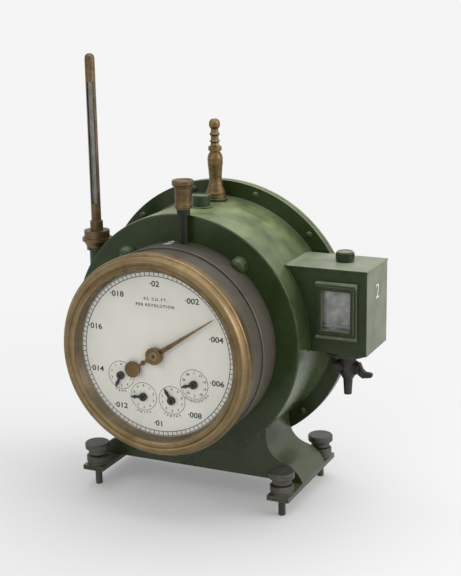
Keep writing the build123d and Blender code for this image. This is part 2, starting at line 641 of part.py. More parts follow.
filler_cap = turned_z([
    (0, FILLER_RIM - 7),
    (4.6 - SEAT, FILLER_RIM - 7),
    (4.6 - SEAT, FILLER_RIM),
    (7.6, FILLER_RIM),
    (8.3, FILLER_RIM + 1.0),
    (8.3, FILLER_RIM + 3.8),
    (7.8, FILLER_RIM + 4.4),
    (6.4, FILLER_RIM + 4.2),
    (6.0, FILLER_RIM + 3.8),
    (0, FILLER_RIM + 3.8),
], FILLER_X, FILLER_Y)
save(filler_cap, "filler_cap")

# Thermometer in its pocket at the left shoulder
pocket = rod_z(POCKET_R, POCKET_LOW, POCKET_TOP, THERMO_X, THERMO_Y)
pocket += rod_z(8.6, POCKET_TOP - 2.6, POCKET_TOP, THERMO_X, THERMO_Y)
pocket -= rod_z(POCKET_BORE_R, POCKET_LOW + 2, POCKET_TOP + 1, THERMO_X, THERMO_Y)
save(pocket, "thermometer_pocket")
union = turned_z([
    (GUARD_R + SEAT, GUARD_LOW - 1),
    (10.2, GUARD_LOW - 1),
    (10.2, GUARD_LOW - 6.6),
    (11.9, GUARD_LOW - 6.8),
    (11.9, GUARD_LOW - 9.4),
    (10.6, GUARD_LOW - 9.8),
    (10.0, GUARD_LOW - 11.2),
    (8.8, POCKET_TOP + 0.8),
    (8.8, POCKET_TOP),
    (POCKET_BORE_R, POCKET_TOP),
    (POCKET_BORE_R, GUARD_LOW - 6),
    (GUARD_R + SEAT, GUARD_LOW - 6),
], THERMO_X, THERMO_Y)
save(union, "thermometer_union_nut")
guard = turned_z([
    (0, THERMO_TOP),
    (2.2, THERMO_TOP - 0.5),
    (3.5, THERMO_TOP - 1.9),
    (GUARD_R, THERMO_TOP - 4),
    (GUARD_R, GUARD_LOW + 7),
    (5.1, GUARD_LOW + 6.6),
    (5.1, GUARD_LOW - 0.6),
    (5.1, GUARD_LOW - 1 + SEAT),
    (GUARD_R, GUARD_LOW - 1 + SEAT),
    (GUARD_R, GUARD_LOW - 5.6),
    (GUARD_BORE_R, GUARD_LOW - 5.6),
    (GUARD_BORE_R, THERMO_TOP - 5),
    (0, THERMO_TOP - 5),
], THERMO_X, THERMO_Y)
slot = block(-SLOT_W / 2, SLOT_W / 2, -6, -1, SLOT_LOW, SLOT_HIGH)
guard -= Pos(THERMO_X, THERMO_Y, 0) * Rot(0, 0, SLOT_TURN) * slot
save(guard, "thermometer_guard")
stem = rod_z(STEM_R, POCKET_LOW + 9, THERMO_TOP - 6, THERMO_X, THERMO_Y)
stem += rod_z(3.0, POCKET_LOW + 4, POCKET_LOW + 16, THERMO_X, THERMO_Y)
stem += rod_z(GUARD_BORE_R - 0.02, GUARD_LOW - 5.6, GUARD_LOW + 4, THERMO_X, THERMO_Y)
save(stem, "thermometer_glass")

# Level box: folded sheet, soldered to the casing, with its own top plate
box = block(BOX_ROOT, BOX_RIGHT, BOX_FRONT, BOX_BACK, BOX_BOTTOM, BOX_TOP - 1.6)
box -= block(BOX_ROOT - 5, BOX_RIGHT - BOX_WALL, BOX_FRONT + BOX_WALL, BOX_BACK - BOX_WALL,
             BOX_BOTTOM + BOX_WALL, BOX_TOP)
box -= block(WINDOW_X - WINDOW_W / 2, WINDOW_X + WINDOW_W / 2, BOX_FRONT - 1, BOX_FRONT + 5,
             WINDOW_LOW, WINDOW_HIGH)
box -= rod_y(CASE_R, CASE_FRONT - 2, FLANGE_FRONT + 2, z=CASE_Z)
box -= rod_z(3.0, BOX_BOTTOM - 1, BOX_BOTTOM + 3, DRAIN_X, DRAIN_Y)
save(box, "level_box")
lid = block(BOX_ROOT, BOX_RIGHT + 0.5, BOX_FRONT - 0.5, BOX_BACK, BOX_TOP - 1.6, BOX_TOP)
lid -= rod_y(CASE_R, CASE_FRONT - 2, FLANGE_FRONT + 2, z=CASE_Z)
lid -= rod_z(4.2, BOX_TOP - 3, BOX_TOP + 2, BOX_PLUG_X, BOX_PLUG_Y)
save(lid, "level_box_lid")
box_plug = turned_z([
    (0, BOX_TOP - 4),
    (4.2 - SEAT, BOX_TOP - 4),
    (4.2 - SEAT, BOX_TOP),
    (7.1, BOX_TOP),
    (6.8, BOX_TOP + 6.6),
    (6.3, BOX_TOP + 7.6),
    (5.2, BOX_TOP + 7.9),
    (4.9, BOX_TOP + 7.4),
    (0, BOX_TOP + 7.4),
], BOX_PLUG_X, BOX_PLUG_Y)
save(box_plug, "level_box_plug")


# Window: moulded frame with a ledge above and below, glass and gasket behind
def rim(half_w, low, high, y0, y1, hole_w, hole_low, hole_high):
    ring = block(WINDOW_X - half_w, WINDOW_X + half_w, y0, y1, low, high)
    return ring - block(WINDOW_X - hole_w, WINDOW_X + hole_w, y0 - 1, y1 + 1, hole_low, hole_high)


PANE_T = 2.0
half = WINDOW_W / 2
frame = rim(half + 4.2, WINDOW_LOW - 4.6, FRAME_HIGH - 3.2, BOX_FRONT - 2.4, BOX_FRONT,
            half, WINDOW_LOW, WINDOW_HIGH)
frame += rim(half + 2.2, WINDOW_LOW - 2.4, WINDOW_HIGH + 2.2, BOX_FRONT - 3.6, BOX_FRONT - 2.4,
             half, WINDOW_LOW, WINDOW_HIGH)
ledge = Plane.YZ * make_face(Polyline(
    (BOX_FRONT, FRAME_HIGH), (BOX_FRONT, FRAME_HIGH - 3.6), (BOX_FRONT - 3.2, FRAME_HIGH - 3.6),
    (BOX_FRONT - 5.0, FRAME_HIGH - 2.4), (BOX_FRONT - 5.0, FRAME_HIGH - 1.0),
    (BOX_FRONT - 4.0, FRAME_HIGH), close=True))
frame += Pos(WINDOW_X, 0, 0) * extrude(ledge, FRAME_W / 2, both=True)
sill = Plane.YZ * make_face(Polyline(
    (BOX_FRONT, FRAME_LOW), (BOX_FRONT - 3.8, FRAME_LOW), (BOX_FRONT - 4.6, FRAME_LOW + 1.2),
    (BOX_FRONT - 3.4, FRAME_LOW + 2.4), (BOX_FRONT, FRAME_LOW + 2.8), close=True))
frame += Pos(WINDOW_X, 0, 0) * extrude(sill, FRAME_W / 2, both=True)
save(frame, "window_frame")
PANE_BACK = BOX_FRONT + BOX_WALL + PANE_T
pane = block(WINDOW_X - half - 2.5, WINDOW_X + half + 2.5, BOX_FRONT + BOX_WALL, PANE_BACK,
             WINDOW_LOW - 2.5, WINDOW_HIGH + 2.5)
save(pane, "level_glass")
save(rim(half + 4, WINDOW_LOW - 4, WINDOW_HIGH + 4, PANE_BACK, PANE_BACK + 1.4,
         half, WINDOW_LOW, WINDOW_HIGH), "window_clamp")
hook = block(WINDOW_X - 5, WINDOW_X + 5, PANE_BACK + 6, BOX_BACK - BOX_WALL, WINDOW_LOW + 2,
             WINDOW_LOW + 3.2)
hook += Pos(WINDOW_X, PANE_BACK + 7.2, WINDOW_LOW + 3.2) * extrude(Circle(1.2), 9, taper=6.5)
save(hook, "level_hook")

# Drain flange and cock
FLANGE_LOW = BOX_BOTTOM - DRAIN_FLANGE_T
drain_flange = turned_z([
    (3.0, BOX_BOTTOM),
    (DRAIN_FLANGE_R, BOX_BOTTOM),
    (DRAIN_FLANGE_R, FLANGE_LOW + 2.4),
    (DRAIN_FLANGE_R - 2.6, FLANGE_LOW),
    (3.0, FLANGE_LOW),
], DRAIN_X, DRAIN_Y)
save(drain_flange, "drain_flange")
cock = turned_z([
    (0, FLANGE_LOW),
    (8.2, FLANGE_LOW),
    (8.0, FLANGE_LOW - 2.2),
    (6.4, FLANGE_LOW - 3.0),
    (6.4, COCK_Z - 4.6),
    (4.4, COCK_Z - 8.4),
    (3.7, COCK_Z - 9.4),
    (3.0, COCK_Z - 21.6),
    (0, COCK_Z - 21.6),
], DRAIN_X, DRAIN_Y)
cock += rod_x(5.6, DRAIN_X - 8.4, DRAIN_X + 7.0, DRAIN_Y, COCK_Z)
cock -= rod_x(KEY_R + 0.03, DRAIN_X - 9, DRAIN_X + 8, DRAIN_Y, COCK_Z)
cock -= rod_z(1.8, COCK_Z - 22, FLANGE_LOW + 1, DRAIN_X, DRAIN_Y)
save(cock, "drain_cock_body")
key = rod_x(KEY_R, DRAIN_X - 9.4, DRAIN_X + 8.6, DRAIN_Y, COCK_Z)
key += rod_x(4.8, DRAIN_X + 7.3, DRAIN_X + 9.6, DRAIN_Y, COCK_Z)
key -= rod_z(1.8, COCK_Z - 6, COCK_Z + 6, DRAIN_X, DRAIN_Y)
wing = Plane.XZ * make_face(Polyline(
    (DRAIN_X + 8.6, COCK_Z + 4.6), (DRAIN_X + 10.4, COCK_Z + 2.8), (DRAIN_X + 12.0, COCK_Z - 0.6),
    (DRAIN_X + 14.2, COCK_Z - 2.6), (DRAIN_X + 18.8, COCK_Z - 3.0), (DRAIN_X + 19.7, COCK_Z - 4.0),
    (DRAIN_X + 19.5, COCK_Z - 5.8), (DRAIN_X + 18.2, COCK_Z - 6.4), (DRAIN_X + 12.0, COCK_Z - 7.4),
    (DRAIN_X + 8.6, COCK_Z - 5.0), close=True))
key += Pos(0, DRAIN_Y, 0) * extrude(wing, 1.9, both=True)
key += rod_x(4.7, DRAIN_X - 9.6, DRAIN_X - 8.5, DRAIN_Y, COCK_Z)
save(key, "drain_cock_key")

# Stand: front and rear plates, two ogee side sheets and two foot bars
# The side sheet's curve as shares of the way out and down from its head to the bar
OGEE_SHARES = ((0, 0), (0.019, 0.276), (0.103, 0.46), (0.257, 0.579), (0.45, 0.648), (0.643, 0.694),
               (0.823, 0.791), (0.952, 0.92), (1, 1))
OGEE = [(STAND_HEAD_X + (OUTER_X - STAND_HEAD_X) * out, STAND_HEAD_Z - (STAND_HEAD_Z - FOOT_BAR_TOP) * down)
        for out, down in OGEE_SHARES]
casing_cut = rod_y(CASE_R, CASE_FRONT - 2, FLANGE_FRONT + 6, z=CASE_Z)


def inner_edge(side):
    shifted = [(side * (x - STAND_SHEET), 0, z - 1.2) for x, z in OGEE[:-1]]
    return Spline(*shifted, (side * (OUTER_X - STAND_SHEET), 0, FOOT_BAR_TOP))


def side_sheet(side):
    outer = Spline(*[(side * x, 0, z) for x, z in OGEE])
    inner = inner_edge(side)
    head = Line(outer @ 0, inner @ 0)
    toe = Line(outer @ 1, inner @ 1)
    face = make_face(Wire([outer.edge(), toe.edge(), inner.edge(), head.edge()]))
    sheet = extrude(face, amount=STAND_BACK - STAND_FRONT, dir=(0, 1, 0))
    return Pos(0, STAND_FRONT, 0) * sheet - casing_cut


def end_plate(y0, y1):
    """Plate filling the stand between the side sheets, cut to the casing above."""
    left = inner_edge(-1)
    right = inner_edge(1)
    top = Line(left @ 0, right @ 0)
    bottom = Line(left @ 1, right @ 1)
    face = make_face(Wire([left.edge(), bottom.edge(), right.edge(), top.edge()]))
    return Pos(0, y0, 0) * extrude(face, amount=y1 - y0, dir=(0, 1, 0)) - casing_cut


save(side_sheet(1), "side_sheet_right")
save(side_sheet(-1), "side_sheet_left")
save(end_plate(STAND_FRONT + 0.6, STAND_FRONT + 0.6 + STAND_SHEET), "stand_front_plate")
save(end_plate(STAND_BACK - STAND_SHEET - 0.6, STAND_BACK - 0.6), "stand_rear_plate")


def foot_bar(side):
    bar = block(side * FOOT_X - FOOT_BAR_W / 2, side * FOOT_X + FOOT_BAR_W / 2,
                -FOOT_BAR_L / 2, FOOT_BAR_L / 2, FOOT_BAR_LOW, FOOT_BAR_TOP)
    for y in (-FOOT_Y, FOOT_Y):
        bar -= rod_z(SCREW_R + RUN, FOOT_BAR_LOW - 1, FOOT_BAR_TOP + 1, side * FOOT_X, y)
    return bar


save(foot_bar(1), "foot_bar_right")
save(foot_bar(-1), "foot_bar_left")


def levelling_screw(x, y):
    neck = FOOT_BAR_TOP + LOCK_NUT_T
    return turned_z([
        (0, 0),
        (SCREW_R, 0),
        (SCREW_R, neck + 1.2),
        (7.6, neck + 1.2),
        (7.4, neck + 4.2),
        (8.6, neck + 5.0),
        (SCREW_HEAD_R - 0.5, neck + 5.4),
        (SCREW_HEAD_R, neck + 6.0),
        (SCREW_HEAD_R, SCREW_TOP - 0.7),
        (SCREW_HEAD_R - 0.7, SCREW_TOP),
        (0, SCREW_TOP),
    ], x, y)


def lock_nut(x, y):
    top = FOOT_BAR_TOP + LOCK_NUT_T
    return turned_z([
        (SCREW_R + RUN, FOOT_BAR_TOP),
        (8.6, FOOT_BAR_TOP),
        (8.6, FOOT_BAR_TOP + 2.0),
        (LOCK_NUT_R, FOOT_BAR_TOP + 2.8),
        (LOCK_NUT_R, top - 0.8),
        (LOCK_NUT_R - 0.8, top),
        (SCREW_R + RUN, top),
    ], x, y)


corners = {
    "front_left": (-FOOT_X, -FOOT_Y),
    "front_right": (FOOT_X, -FOOT_Y),
    "rear_left": (-FOOT_X, FOOT_Y),
    "rear_right": (FOOT_X, FOOT_Y),
}
for corner, (x, y) in corners.items():
    save(levelling_screw(x, y), f"levelling_screw_{corner}")
save(group(lock_nut(x, y) for x, y in corners.values()), "lock_nuts")
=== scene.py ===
import math

import bmesh
import bpy
from mathutils import Matrix, Vector


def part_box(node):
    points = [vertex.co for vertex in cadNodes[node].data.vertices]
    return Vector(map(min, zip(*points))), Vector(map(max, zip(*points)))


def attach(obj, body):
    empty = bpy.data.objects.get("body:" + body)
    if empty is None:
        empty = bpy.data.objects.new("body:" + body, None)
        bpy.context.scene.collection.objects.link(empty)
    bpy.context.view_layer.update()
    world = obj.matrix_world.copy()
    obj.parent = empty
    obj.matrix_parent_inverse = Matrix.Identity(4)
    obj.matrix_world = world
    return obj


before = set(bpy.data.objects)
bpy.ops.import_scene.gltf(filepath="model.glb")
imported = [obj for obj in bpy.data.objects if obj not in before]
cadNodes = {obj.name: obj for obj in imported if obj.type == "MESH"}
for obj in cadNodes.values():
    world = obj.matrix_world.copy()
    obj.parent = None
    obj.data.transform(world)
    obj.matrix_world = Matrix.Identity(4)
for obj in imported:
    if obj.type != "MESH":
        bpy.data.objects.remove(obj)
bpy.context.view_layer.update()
mm = 0.001
print("frame loaded")


# Places taken from the frame, in metres
def boxOf(name):
    low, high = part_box(name)
    return Vector(low), Vector(high)


def middle(name):
    low, high = boxOf(name)
    return (low + high) / 2


dialLow, dialHigh = boxOf("dial_plate")
dialFace = dialLow.y
axisZ = (dialLow.z + dialHigh.z) / 2
dialCentre = Vector((0, dialFace, axisZ))


# Camera, lamps and floor
view = {
    "azimuth": 24.8,
    "elevation": 14.65,
    "roll": 0.97,
    "eye": (435.9, -897.0, 423.9),
    "lens": 100.92,
}

light = {
    "worldStrength": 0.76,
    "whiteLevel": 0.91,
    "floorGlow": (0.2, 0.6, 0.2),
    "lamps": (
        ("topSoftbox", (0.1, 0.25, 1.4), 1.6, 12.5),
        ("rightSoftbox", (1.6, 0.1, 0.7), 1.2, 14.0),
        ("frontFill", (-0.5, -1.8, 0.9), 1.4, 6.0),
    ),
}


def makeCamera():
    turn, lift, roll = (math.radians(view[key]) for key in ("azimuth", "elevation", "roll"))
    back = Vector((math.sin(turn) * math.cos(lift), -math.cos(turn) * math.cos(lift), math.sin(lift)))
    right = Vector((math.cos(turn), math.sin(turn), 0))
    up = back.cross(right)
    columns = (
        right * math.cos(roll) - up * math.sin(roll),
        right * math.sin(roll) + up * math.cos(roll),
        back,
    )
    data = bpy.data.cameras.new("photoCamera")
    data.sensor_fit = "HORIZONTAL"
    data.sensor_width = 36
    data.lens = view["lens"]
    camera = bpy.data.objects.new("photoCamera", data)
    place = Matrix(columns).transposed().to_4x4()
    place.translation = Vector(view["eye"]) * mm
    camera.matrix_world = place
    bpy.context.collection.objects.link(camera)
    bpy.context.scene.camera = camera


def makeLamps():
    target = Vector((0, 0, axisZ))
    for name, place, size, power in light["lamps"]:
        data = bpy.data.lights.new(name, "AREA")
        data.size = size
        data.energy = power
        lamp = bpy.data.objects.new(name, data)
        lamp.location = place
        lamp.rotation_euler = (target - Vector(place)).to_track_quat("-Z", "Y").to_euler()
        bpy.context.collection.objects.link(lamp)


def backgroundRays(tree):
    # 1 for rays that should see the plain background.
    path = tree.nodes.new("ShaderNodeLightPath")
    last = path.outputs["Is Camera Ray"]
    for name in ("Is Glossy Ray", "Is Transmission Ray"):
        both = tree.nodes.new("ShaderNodeMath")
        both.operation = "MAXIMUM"
        tree.links.new(last, both.inputs[0])
        tree.links.new(path.outputs[name], both.inputs[1])
        last = both.outputs[0]
    return last


def makeWorld():
    world = bpy.data.worlds.new("studio")
    bpy.context.scene.world = world
    world.use_nodes = True
    tree = world.node_tree
    tree.nodes.clear()
    out = tree.nodes.new("ShaderNodeOutputWorld")
    mix = tree.nodes.new("ShaderNodeMixShader")
    soft = tree.nodes.new("ShaderNodeBackground")
    seen = tree.nodes.new("ShaderNodeBackground")
    soft.inputs["Strength"].default_value = light["worldStrength"]
    seen.inputs["Color"].default_value = (light["whiteLevel"],) * 3 + (1,)
    tree.links.new(backgroundRays(tree), mix.inputs[0])
    tree.links.new(soft.outputs[0], mix.inputs[1])
    tree.links.new(seen.outputs[0], mix.inputs[2])
    tree.links.new(mix.outputs[0], out.inputs[0])


makeCamera()
makeLamps()
makeWorld()
bpy.context.scene.view_settings.view_transform = "Standard"


# Small helpers for node trees
def addNode(tree, kind, **values):
    made = tree.nodes.new(kind)
    for key, value in values.items():
        setattr(made, key, value)
    return made


def feed(tree, socket, value):
    # Links a socket or sets a plain value.
    if isinstance(value, bpy.types.NodeSocket):
        tree.links.new(value, socket)
    elif isinstance(value, (tuple, list)) and len(value) == 3 and socket.type == "RGBA":
        socket.default_value = (*value, 1)
    else:
        socket.default_value = value


def maths(tree, operation, first, second=0.5, clamp=False):
    made = addNode(tree, "ShaderNodeMath", operation=operation, use_clamp=clamp)
    feed(tree, made.inputs[0], first)
    feed(tree, made.inputs[1], second)
    return made.outputs[0]


def blendColour(tree, mask, first, second):
    made = addNode(tree, "ShaderNodeMix", data_type="RGBA")
    feed(tree, made.inputs["Factor"], mask)
    feed(tree, made.inputs["A"], first)
    feed(tree, made.inputs["B"], second)
    return made.outputs["Result"]


def spread(tree, value, low, high, toLow=0.0, toHigh=1.0):
    made = addNode(tree, "ShaderNodeMapRange")
    for name, given in (("Value", value), ("From Min", low), ("From Max", high), ("To Min", toLow), ("To Max", toHigh)):
        feed(tree, made.inputs[name], given)
    return made.outputs["Result"]


def noiseAt(tree, vector, scale, detail=3.0, rough=0.55):
    made = addNode(tree, "ShaderNodeTexNoise")
    feed(tree, made.inputs["Vector"], vector)
    feed(tree, made.inputs["Scale"], scale)
    feed(tree, made.inputs["Detail"], detail)
    feed(tree, made.inputs["Roughness"], rough)
    return made.outputs["Fac"]


def newGroup(name, inputs, outputs):
    tree = bpy.data.node_groups.new(name, "ShaderNodeTree")
    for label, kind, start in inputs:
        socket = tree.interface.new_socket(label, in_out="INPUT", socket_type=kind)
        if start is not None:
            socket.default_value = start
    for label, kind in outputs:
        tree.interface.new_socket(label, in_out="OUTPUT", socket_type=kind)
    return tree, addNode(tree, "NodeGroupInput").outputs, addNode(tree, "NodeGroupOutput").inputs


def place(tree, group, **values):
    made = addNode(tree, "ShaderNodeGroup", node_tree=group)
    for key, value in values.items():
        feed(tree, made.inputs[key], value)
    return made.outputs


number, vector, colour = "NodeSocketFloat", "NodeSocketVector", "NodeSocketColor"


# Shared effects: masks, colours and heights only
def makeEdgeWearAndHighlight():
    # Lighter colour along edges: partly rubbed wear, partly a painted edge highlight.
    tree, given, out = newGroup("edgeWearAndHighlight", (
        ("Vector", vector, None), ("Width", number, 0.0008), ("Amount", number, 0.7), ("Breakup", number, 160.0),
    ), (("Mask", number),))
    soft = addNode(tree, "ShaderNodeBevel", samples=6)
    feed(tree, soft.inputs["Radius"], given["Width"])
    plain = addNode(tree, "ShaderNodeNewGeometry")
    facing = addNode(tree, "ShaderNodeVectorMath", operation="DOT_PRODUCT")
    feed(tree, facing.inputs[0], soft.outputs["Normal"])
    feed(tree, facing.inputs[1], plain.outputs["Normal"])
    bend = maths(tree, "SUBTRACT", 1.0, facing.outputs["Value"])
    patches = noiseAt(tree, given["Vector"], given["Breakup"], 4.0)
    rubbedAndLit = maths(tree, "MULTIPLY", spread(tree, bend, 0.02, 0.16), spread(tree, patches, 0.36, 0.62))
    feed(tree, out["Mask"], maths(tree, "MULTIPLY", rubbedAndLit, given["Amount"], clamp=True))
    return tree


def makeDustAndTopSheen():
    # Pale colour on up-facing surfaces: partly settled dust, partly a painted top sheen.
    tree, given, out = newGroup("dustAndTopSheen", (
        ("Vector", vector, None), ("Scale", number, 60.0), ("Amount", number, 0.3),
    ), (("Mask", number),))
    plain = addNode(tree, "ShaderNodeNewGeometry")
    parts = addNode(tree, "ShaderNodeSeparateXYZ")
    feed(tree, parts.inputs[0], plain.outputs["Normal"])
    lying = spread(tree, parts.outputs["Z"], 0.35, 0.95)
    patches = spread(tree, noiseAt(tree, given["Vector"], given["Scale"], 5.0), 0.3, 0.7)
    both = maths(tree, "MULTIPLY", lying, maths(tree, "ADD", patches, 0.35))
    feed(tree, out["Mask"], maths(tree, "MULTIPLY", both, given["Amount"], clamp=True))
    return tree


def makeMottle():
    tree, given, out = newGroup("mottle", (
        ("Vector", vector, None), ("Scale", number, 40.0), ("Dark", colour, None), ("Light", colour, None),
    ), (("Colour", colour), ("Value", number)))
    broad = noiseAt(tree, given["Vector"], given["Scale"], 4.0)
    fine = noiseAt(tree, given["Vector"], maths(tree, "MULTIPLY", given["Scale"], 7.0), 3.0)
    both = maths(tree, "ADD", maths(tree, "MULTIPLY", broad, 0.7), maths(tree, "MULTIPLY", fine, 0.3))
    wide = spread(tree, both, 0.34, 0.66)
    feed(tree, out["Colour"], blendColour(tree, wide, given["Dark"], given["Light"]))
    feed(tree, out["Value"], wide)
    return tree


def makeTurning():
    # Lathe and polishing marks round the Z line of the given vector.
    tree, given, out = newGroup("turningMarks", (
        ("Vector", vector, None), ("Fineness", number, 900.0),
    ), (("Value", number),))
    parts = addNode(tree, "ShaderNodeSeparateXYZ")
    feed(tree, parts.inputs[0], given["Vector"])
    squares = [maths(tree, "MULTIPLY", parts.outputs[name], parts.outputs[name]) for name in ("X", "Y")]
    reach = maths(tree, "SQRT", maths(tree, "ADD", squares[0], squares[1]), 0)
    turn = maths(tree, "ARCTAN2", parts.outputs["Y"], parts.outputs["X"])
    rolled = addNode(tree, "ShaderNodeCombineXYZ")
    feed(tree, rolled.inputs["X"], maths(tree, "MULTIPLY", reach, given["Fineness"]))
    feed(tree, rolled.inputs["Y"], maths(tree, "MULTIPLY", maths(tree, "COSINE", turn, 0), 1.3))
    feed(tree, rolled.inputs["Z"], maths(tree, "MULTIPLY", parts.outputs["Z"], given["Fineness"]))
    feed(tree, out["Value"], noiseAt(tree, rolled.outputs[0], 1.0, 4.0, 0.6))
    return tree


edgeWearAndHighlight = makeEdgeWearAndHighlight()
dustAndTopSheen = makeDustAndTopSheen()
mottle = makeMottle()
turningMarks = makeTurning()
print("shared effects built")


def newMaterial(name):
    made = bpy.data.materials.new(name)
    made.use_nodes = True
    tree = made.node_tree
    tree.nodes.clear()
    shader = addNode(tree, "ShaderNodeBsdfPrincipled")
    out = addNode(tree, "ShaderNodeOutputMaterial")
    tree.links.new(shader.outputs[0], out.inputs[0])
    return made, tree, shader


def objectVector(tree, centre=(0, 0, 0), along="Z"):
    # Object coordinates with the given centre; the turning line along becomes Z.
    coords = addNode(tree, "ShaderNodeTexCoord")
    mapping = addNode(tree, "ShaderNodeMapping", vector_type="TEXTURE")
    feed(tree, mapping.inputs["Vector"], coords.outputs["Object"])
    mapping.inputs["Location"].default_value = centre
    mapping.inputs["Rotation"].default_value = {
        "Z": (0, 0, 0), "Y": (math.radians(90), 0, 0), "X": (0, math.radians(90), 0)}[along]
    return mapping.outputs[0]


def bump(tree, shader, height, strength, distance=0.0002, softEdge=0.0):
    # Fine relief; softEdge rounds the look of sharp edges, in metres.
    made = addNode(tree, "ShaderNodeBump")
    if softEdge:
        soft = addNode(tree, "ShaderNodeBevel", samples=4)
        soft.inputs["Radius"].default_value = softEdge
        feed(tree, made.inputs["Normal"], soft.outputs["Normal"])
    feed(tree, made.inputs["Height"], height)
    made.inputs["Strength"].default_value = strength
    made.inputs["Distance"].default_value = distance
    feed(tree, shader.inputs["Normal"], made.outputs[0])


def paintMaterial(name, dark, lightTone, wornAndLitColour, dustAndSheen, look):
    # Old gloss paint: mottled colour; rubbed edges in a lighter colour, partly wear and partly a painted edge
    # highlight; dust on what faces up, partly real and partly a painted top sheen; a painted sheen of the dust colour
    # at grazing angles.
    made, tree, shader = newMaterial(name)
    spot = objectVector(tree)
    tones = place(tree, mottle, Vector=spot, Scale=look["patch"], Dark=dark, Light=lightTone)
    # Rubbed edges take the lighter colour: partly wear, partly a painted edge highlight.
    edge = place(tree, edgeWearAndHighlight, Vector=spot, Width=look["wearAndHighlightWidth"], Amount=look["wearAndHighlight"], Breakup=look["wearAndHighlightBreakup"])
    # Dust on what faces up, made heavier to serve also as a painted top sheen.
    lying = place(tree, dustAndTopSheen, Vector=spot, Scale=55.0, Amount=look["dustAndSheen"])
    dustedAndSheened = blendColour(tree, lying["Mask"], tones["Colour"], dustAndSheen)
    # Painted sheen: at grazing view angles the colour is pulled towards the pale dust colour, standing in for reflected
    # light; the haze value sets how much.
    graze = addNode(tree, "ShaderNodeLayerWeight")
    graze.inputs["Blend"].default_value = 0.5
    grazingSheen = spread(tree, graze.outputs["Facing"], 0.35, 0.8, 0.0, look["haze"])
    patchyGrazingSheen = maths(tree, "MULTIPLY", grazingSheen, spread(tree, noiseAt(tree, spot, 45.0), 0.3, 0.6, 0.6, 1.0))
    sheenedColour = blendColour(tree, patchyGrazingSheen, dustedAndSheened, dustAndSheen)
    feed(tree, shader.inputs["Base Color"], blendColour(tree, edge["Mask"], sheenedColour, wornAndLitColour))
    grain = noiseAt(tree, spot, look["grain"], 4.0)
    gloss = spread(tree, tones["Value"], 0, 1, look["rough"] - 0.06, look["rough"] + 0.07)
    dulled = maths(tree, "ADD", gloss, maths(tree, "MULTIPLY", lying["Mask"], 0.25), clamp=True)
    feed(tree, shader.inputs["Roughness"], dulled)
    shader.inputs["Specular IOR Level"].default_value = look["shine"]
    bump(tree, shader, grain, look["bump"], softEdge=look["softEdge"])
    return made


def turnedMaterial(name, centre, along, look):
    # Turned or brushed metal with patches of tarnish.
    made, tree, shader = newMaterial(name)
    spot = objectVector(tree, centre, along)
    marks = place(tree, turningMarks, Vector=spot, Fineness=look["fineness"])
    tones = place(tree, mottle, Vector=spot, Scale=look["patch"], Dark=look["dark"], Light=look["light"])
    edge = place(tree, edgeWearAndHighlight, Vector=spot, Width=look["wearAndHighlightWidth"], Amount=look["wearAndHighlight"], Breakup=120.0)
    streaks = spread(tree, marks["Value"], 0.35, 0.65, 0.0, look["streak"])
    streaked = blendColour(tree, streaks, tones["Colour"], look["bright"])
    feed(tree, shader.inputs["Base Color"], blendColour(tree, edge["Mask"], streaked, look["wornAndLitColour"]))
    shader.inputs["Metallic"].default_value = look["metal"]
    patches = spread(tree, tones["Value"], 0, 1, look["rough"] + 0.1, look["rough"] - 0.05)
    feed(tree, shader.inputs["Roughness"], maths(tree, "ADD", patches, maths(tree, "MULTIPLY", marks["Value"], 0.08), True))
    bump(tree, shader, marks["Value"], look["bump"], 0.0001)
    return made


def plainMaterial(name, dark, lightTone, rough, metal, patch=150.0, shine=0.5, grainBump=0.05):
    # Rubber, ink, enamel and inner metal: two close tones and a fine grain.
    made, tree, shader = newMaterial(name)
    spot = objectVector(tree)
    tones = place(tree, mottle, Vector=spot, Scale=patch, Dark=dark, Light=lightTone)
    feed(tree, shader.inputs["Base Color"], tones["Colour"])
    feed(tree, shader.inputs["Roughness"], spread(tree, tones["Value"], 0, 1, rough - 0.05, rough + 0.05))
    shader.inputs["Metallic"].default_value = metal
    shader.inputs["Specular IOR Level"].default_value = shine
    bump(tree, shader, noiseAt(tree, spot, patch * 6), grainBump, 0.0001)
    return made


# In these paint looks the grazing haze is a painted sheen, the dust is partly a painted top sheen and the edge wear is
# partly a painted edge highlight.
green = {"patch": 22.0, "wearAndHighlight": 0.85, "wearAndHighlightWidth": 0.0009, "wearAndHighlightBreakup": 150.0, "dustAndSheen": 0.62, "grain": 420.0,
         "haze": 0.1, "rough": 0.26, "shine": 0.27, "bump": 0.12, "softEdge": 0.0006}
castGreen = paintMaterial("castGreenPaint", (0.017, 0.03, 0.008), (0.032, 0.052, 0.016), (0.21, 0.25, 0.12),
                          (0.25, 0.3, 0.145), green)
# The box paint's strong grazing haze (0.6) puts a painted sheen on its faces.
sheetGreen = paintMaterial("sheetGreenPaint", (0.014, 0.024, 0.006), (0.026, 0.041, 0.012), (0.19, 0.22, 0.11),
                           (0.29, 0.33, 0.23), {**green, "patch": 30.0, "bump": 0.06, "softEdge": 0.0009, "haze": 0.6,
                                                 "dustAndSheen": 0.5, "wearAndHighlight": 0.45, "rough": 0.34, "shine": 0.24})
dullGreen = paintMaterial("standGreenPaint", (0.022, 0.031, 0.012), (0.045, 0.058, 0.024), (0.17, 0.19, 0.11),
                          (0.15, 0.165, 0.095), {**green, "rough": 0.3, "shine": 0.4, "patch": 34.0, "bump": 0.2,
                                                 "haze": 0.0, "dustAndSheen": 0.35})

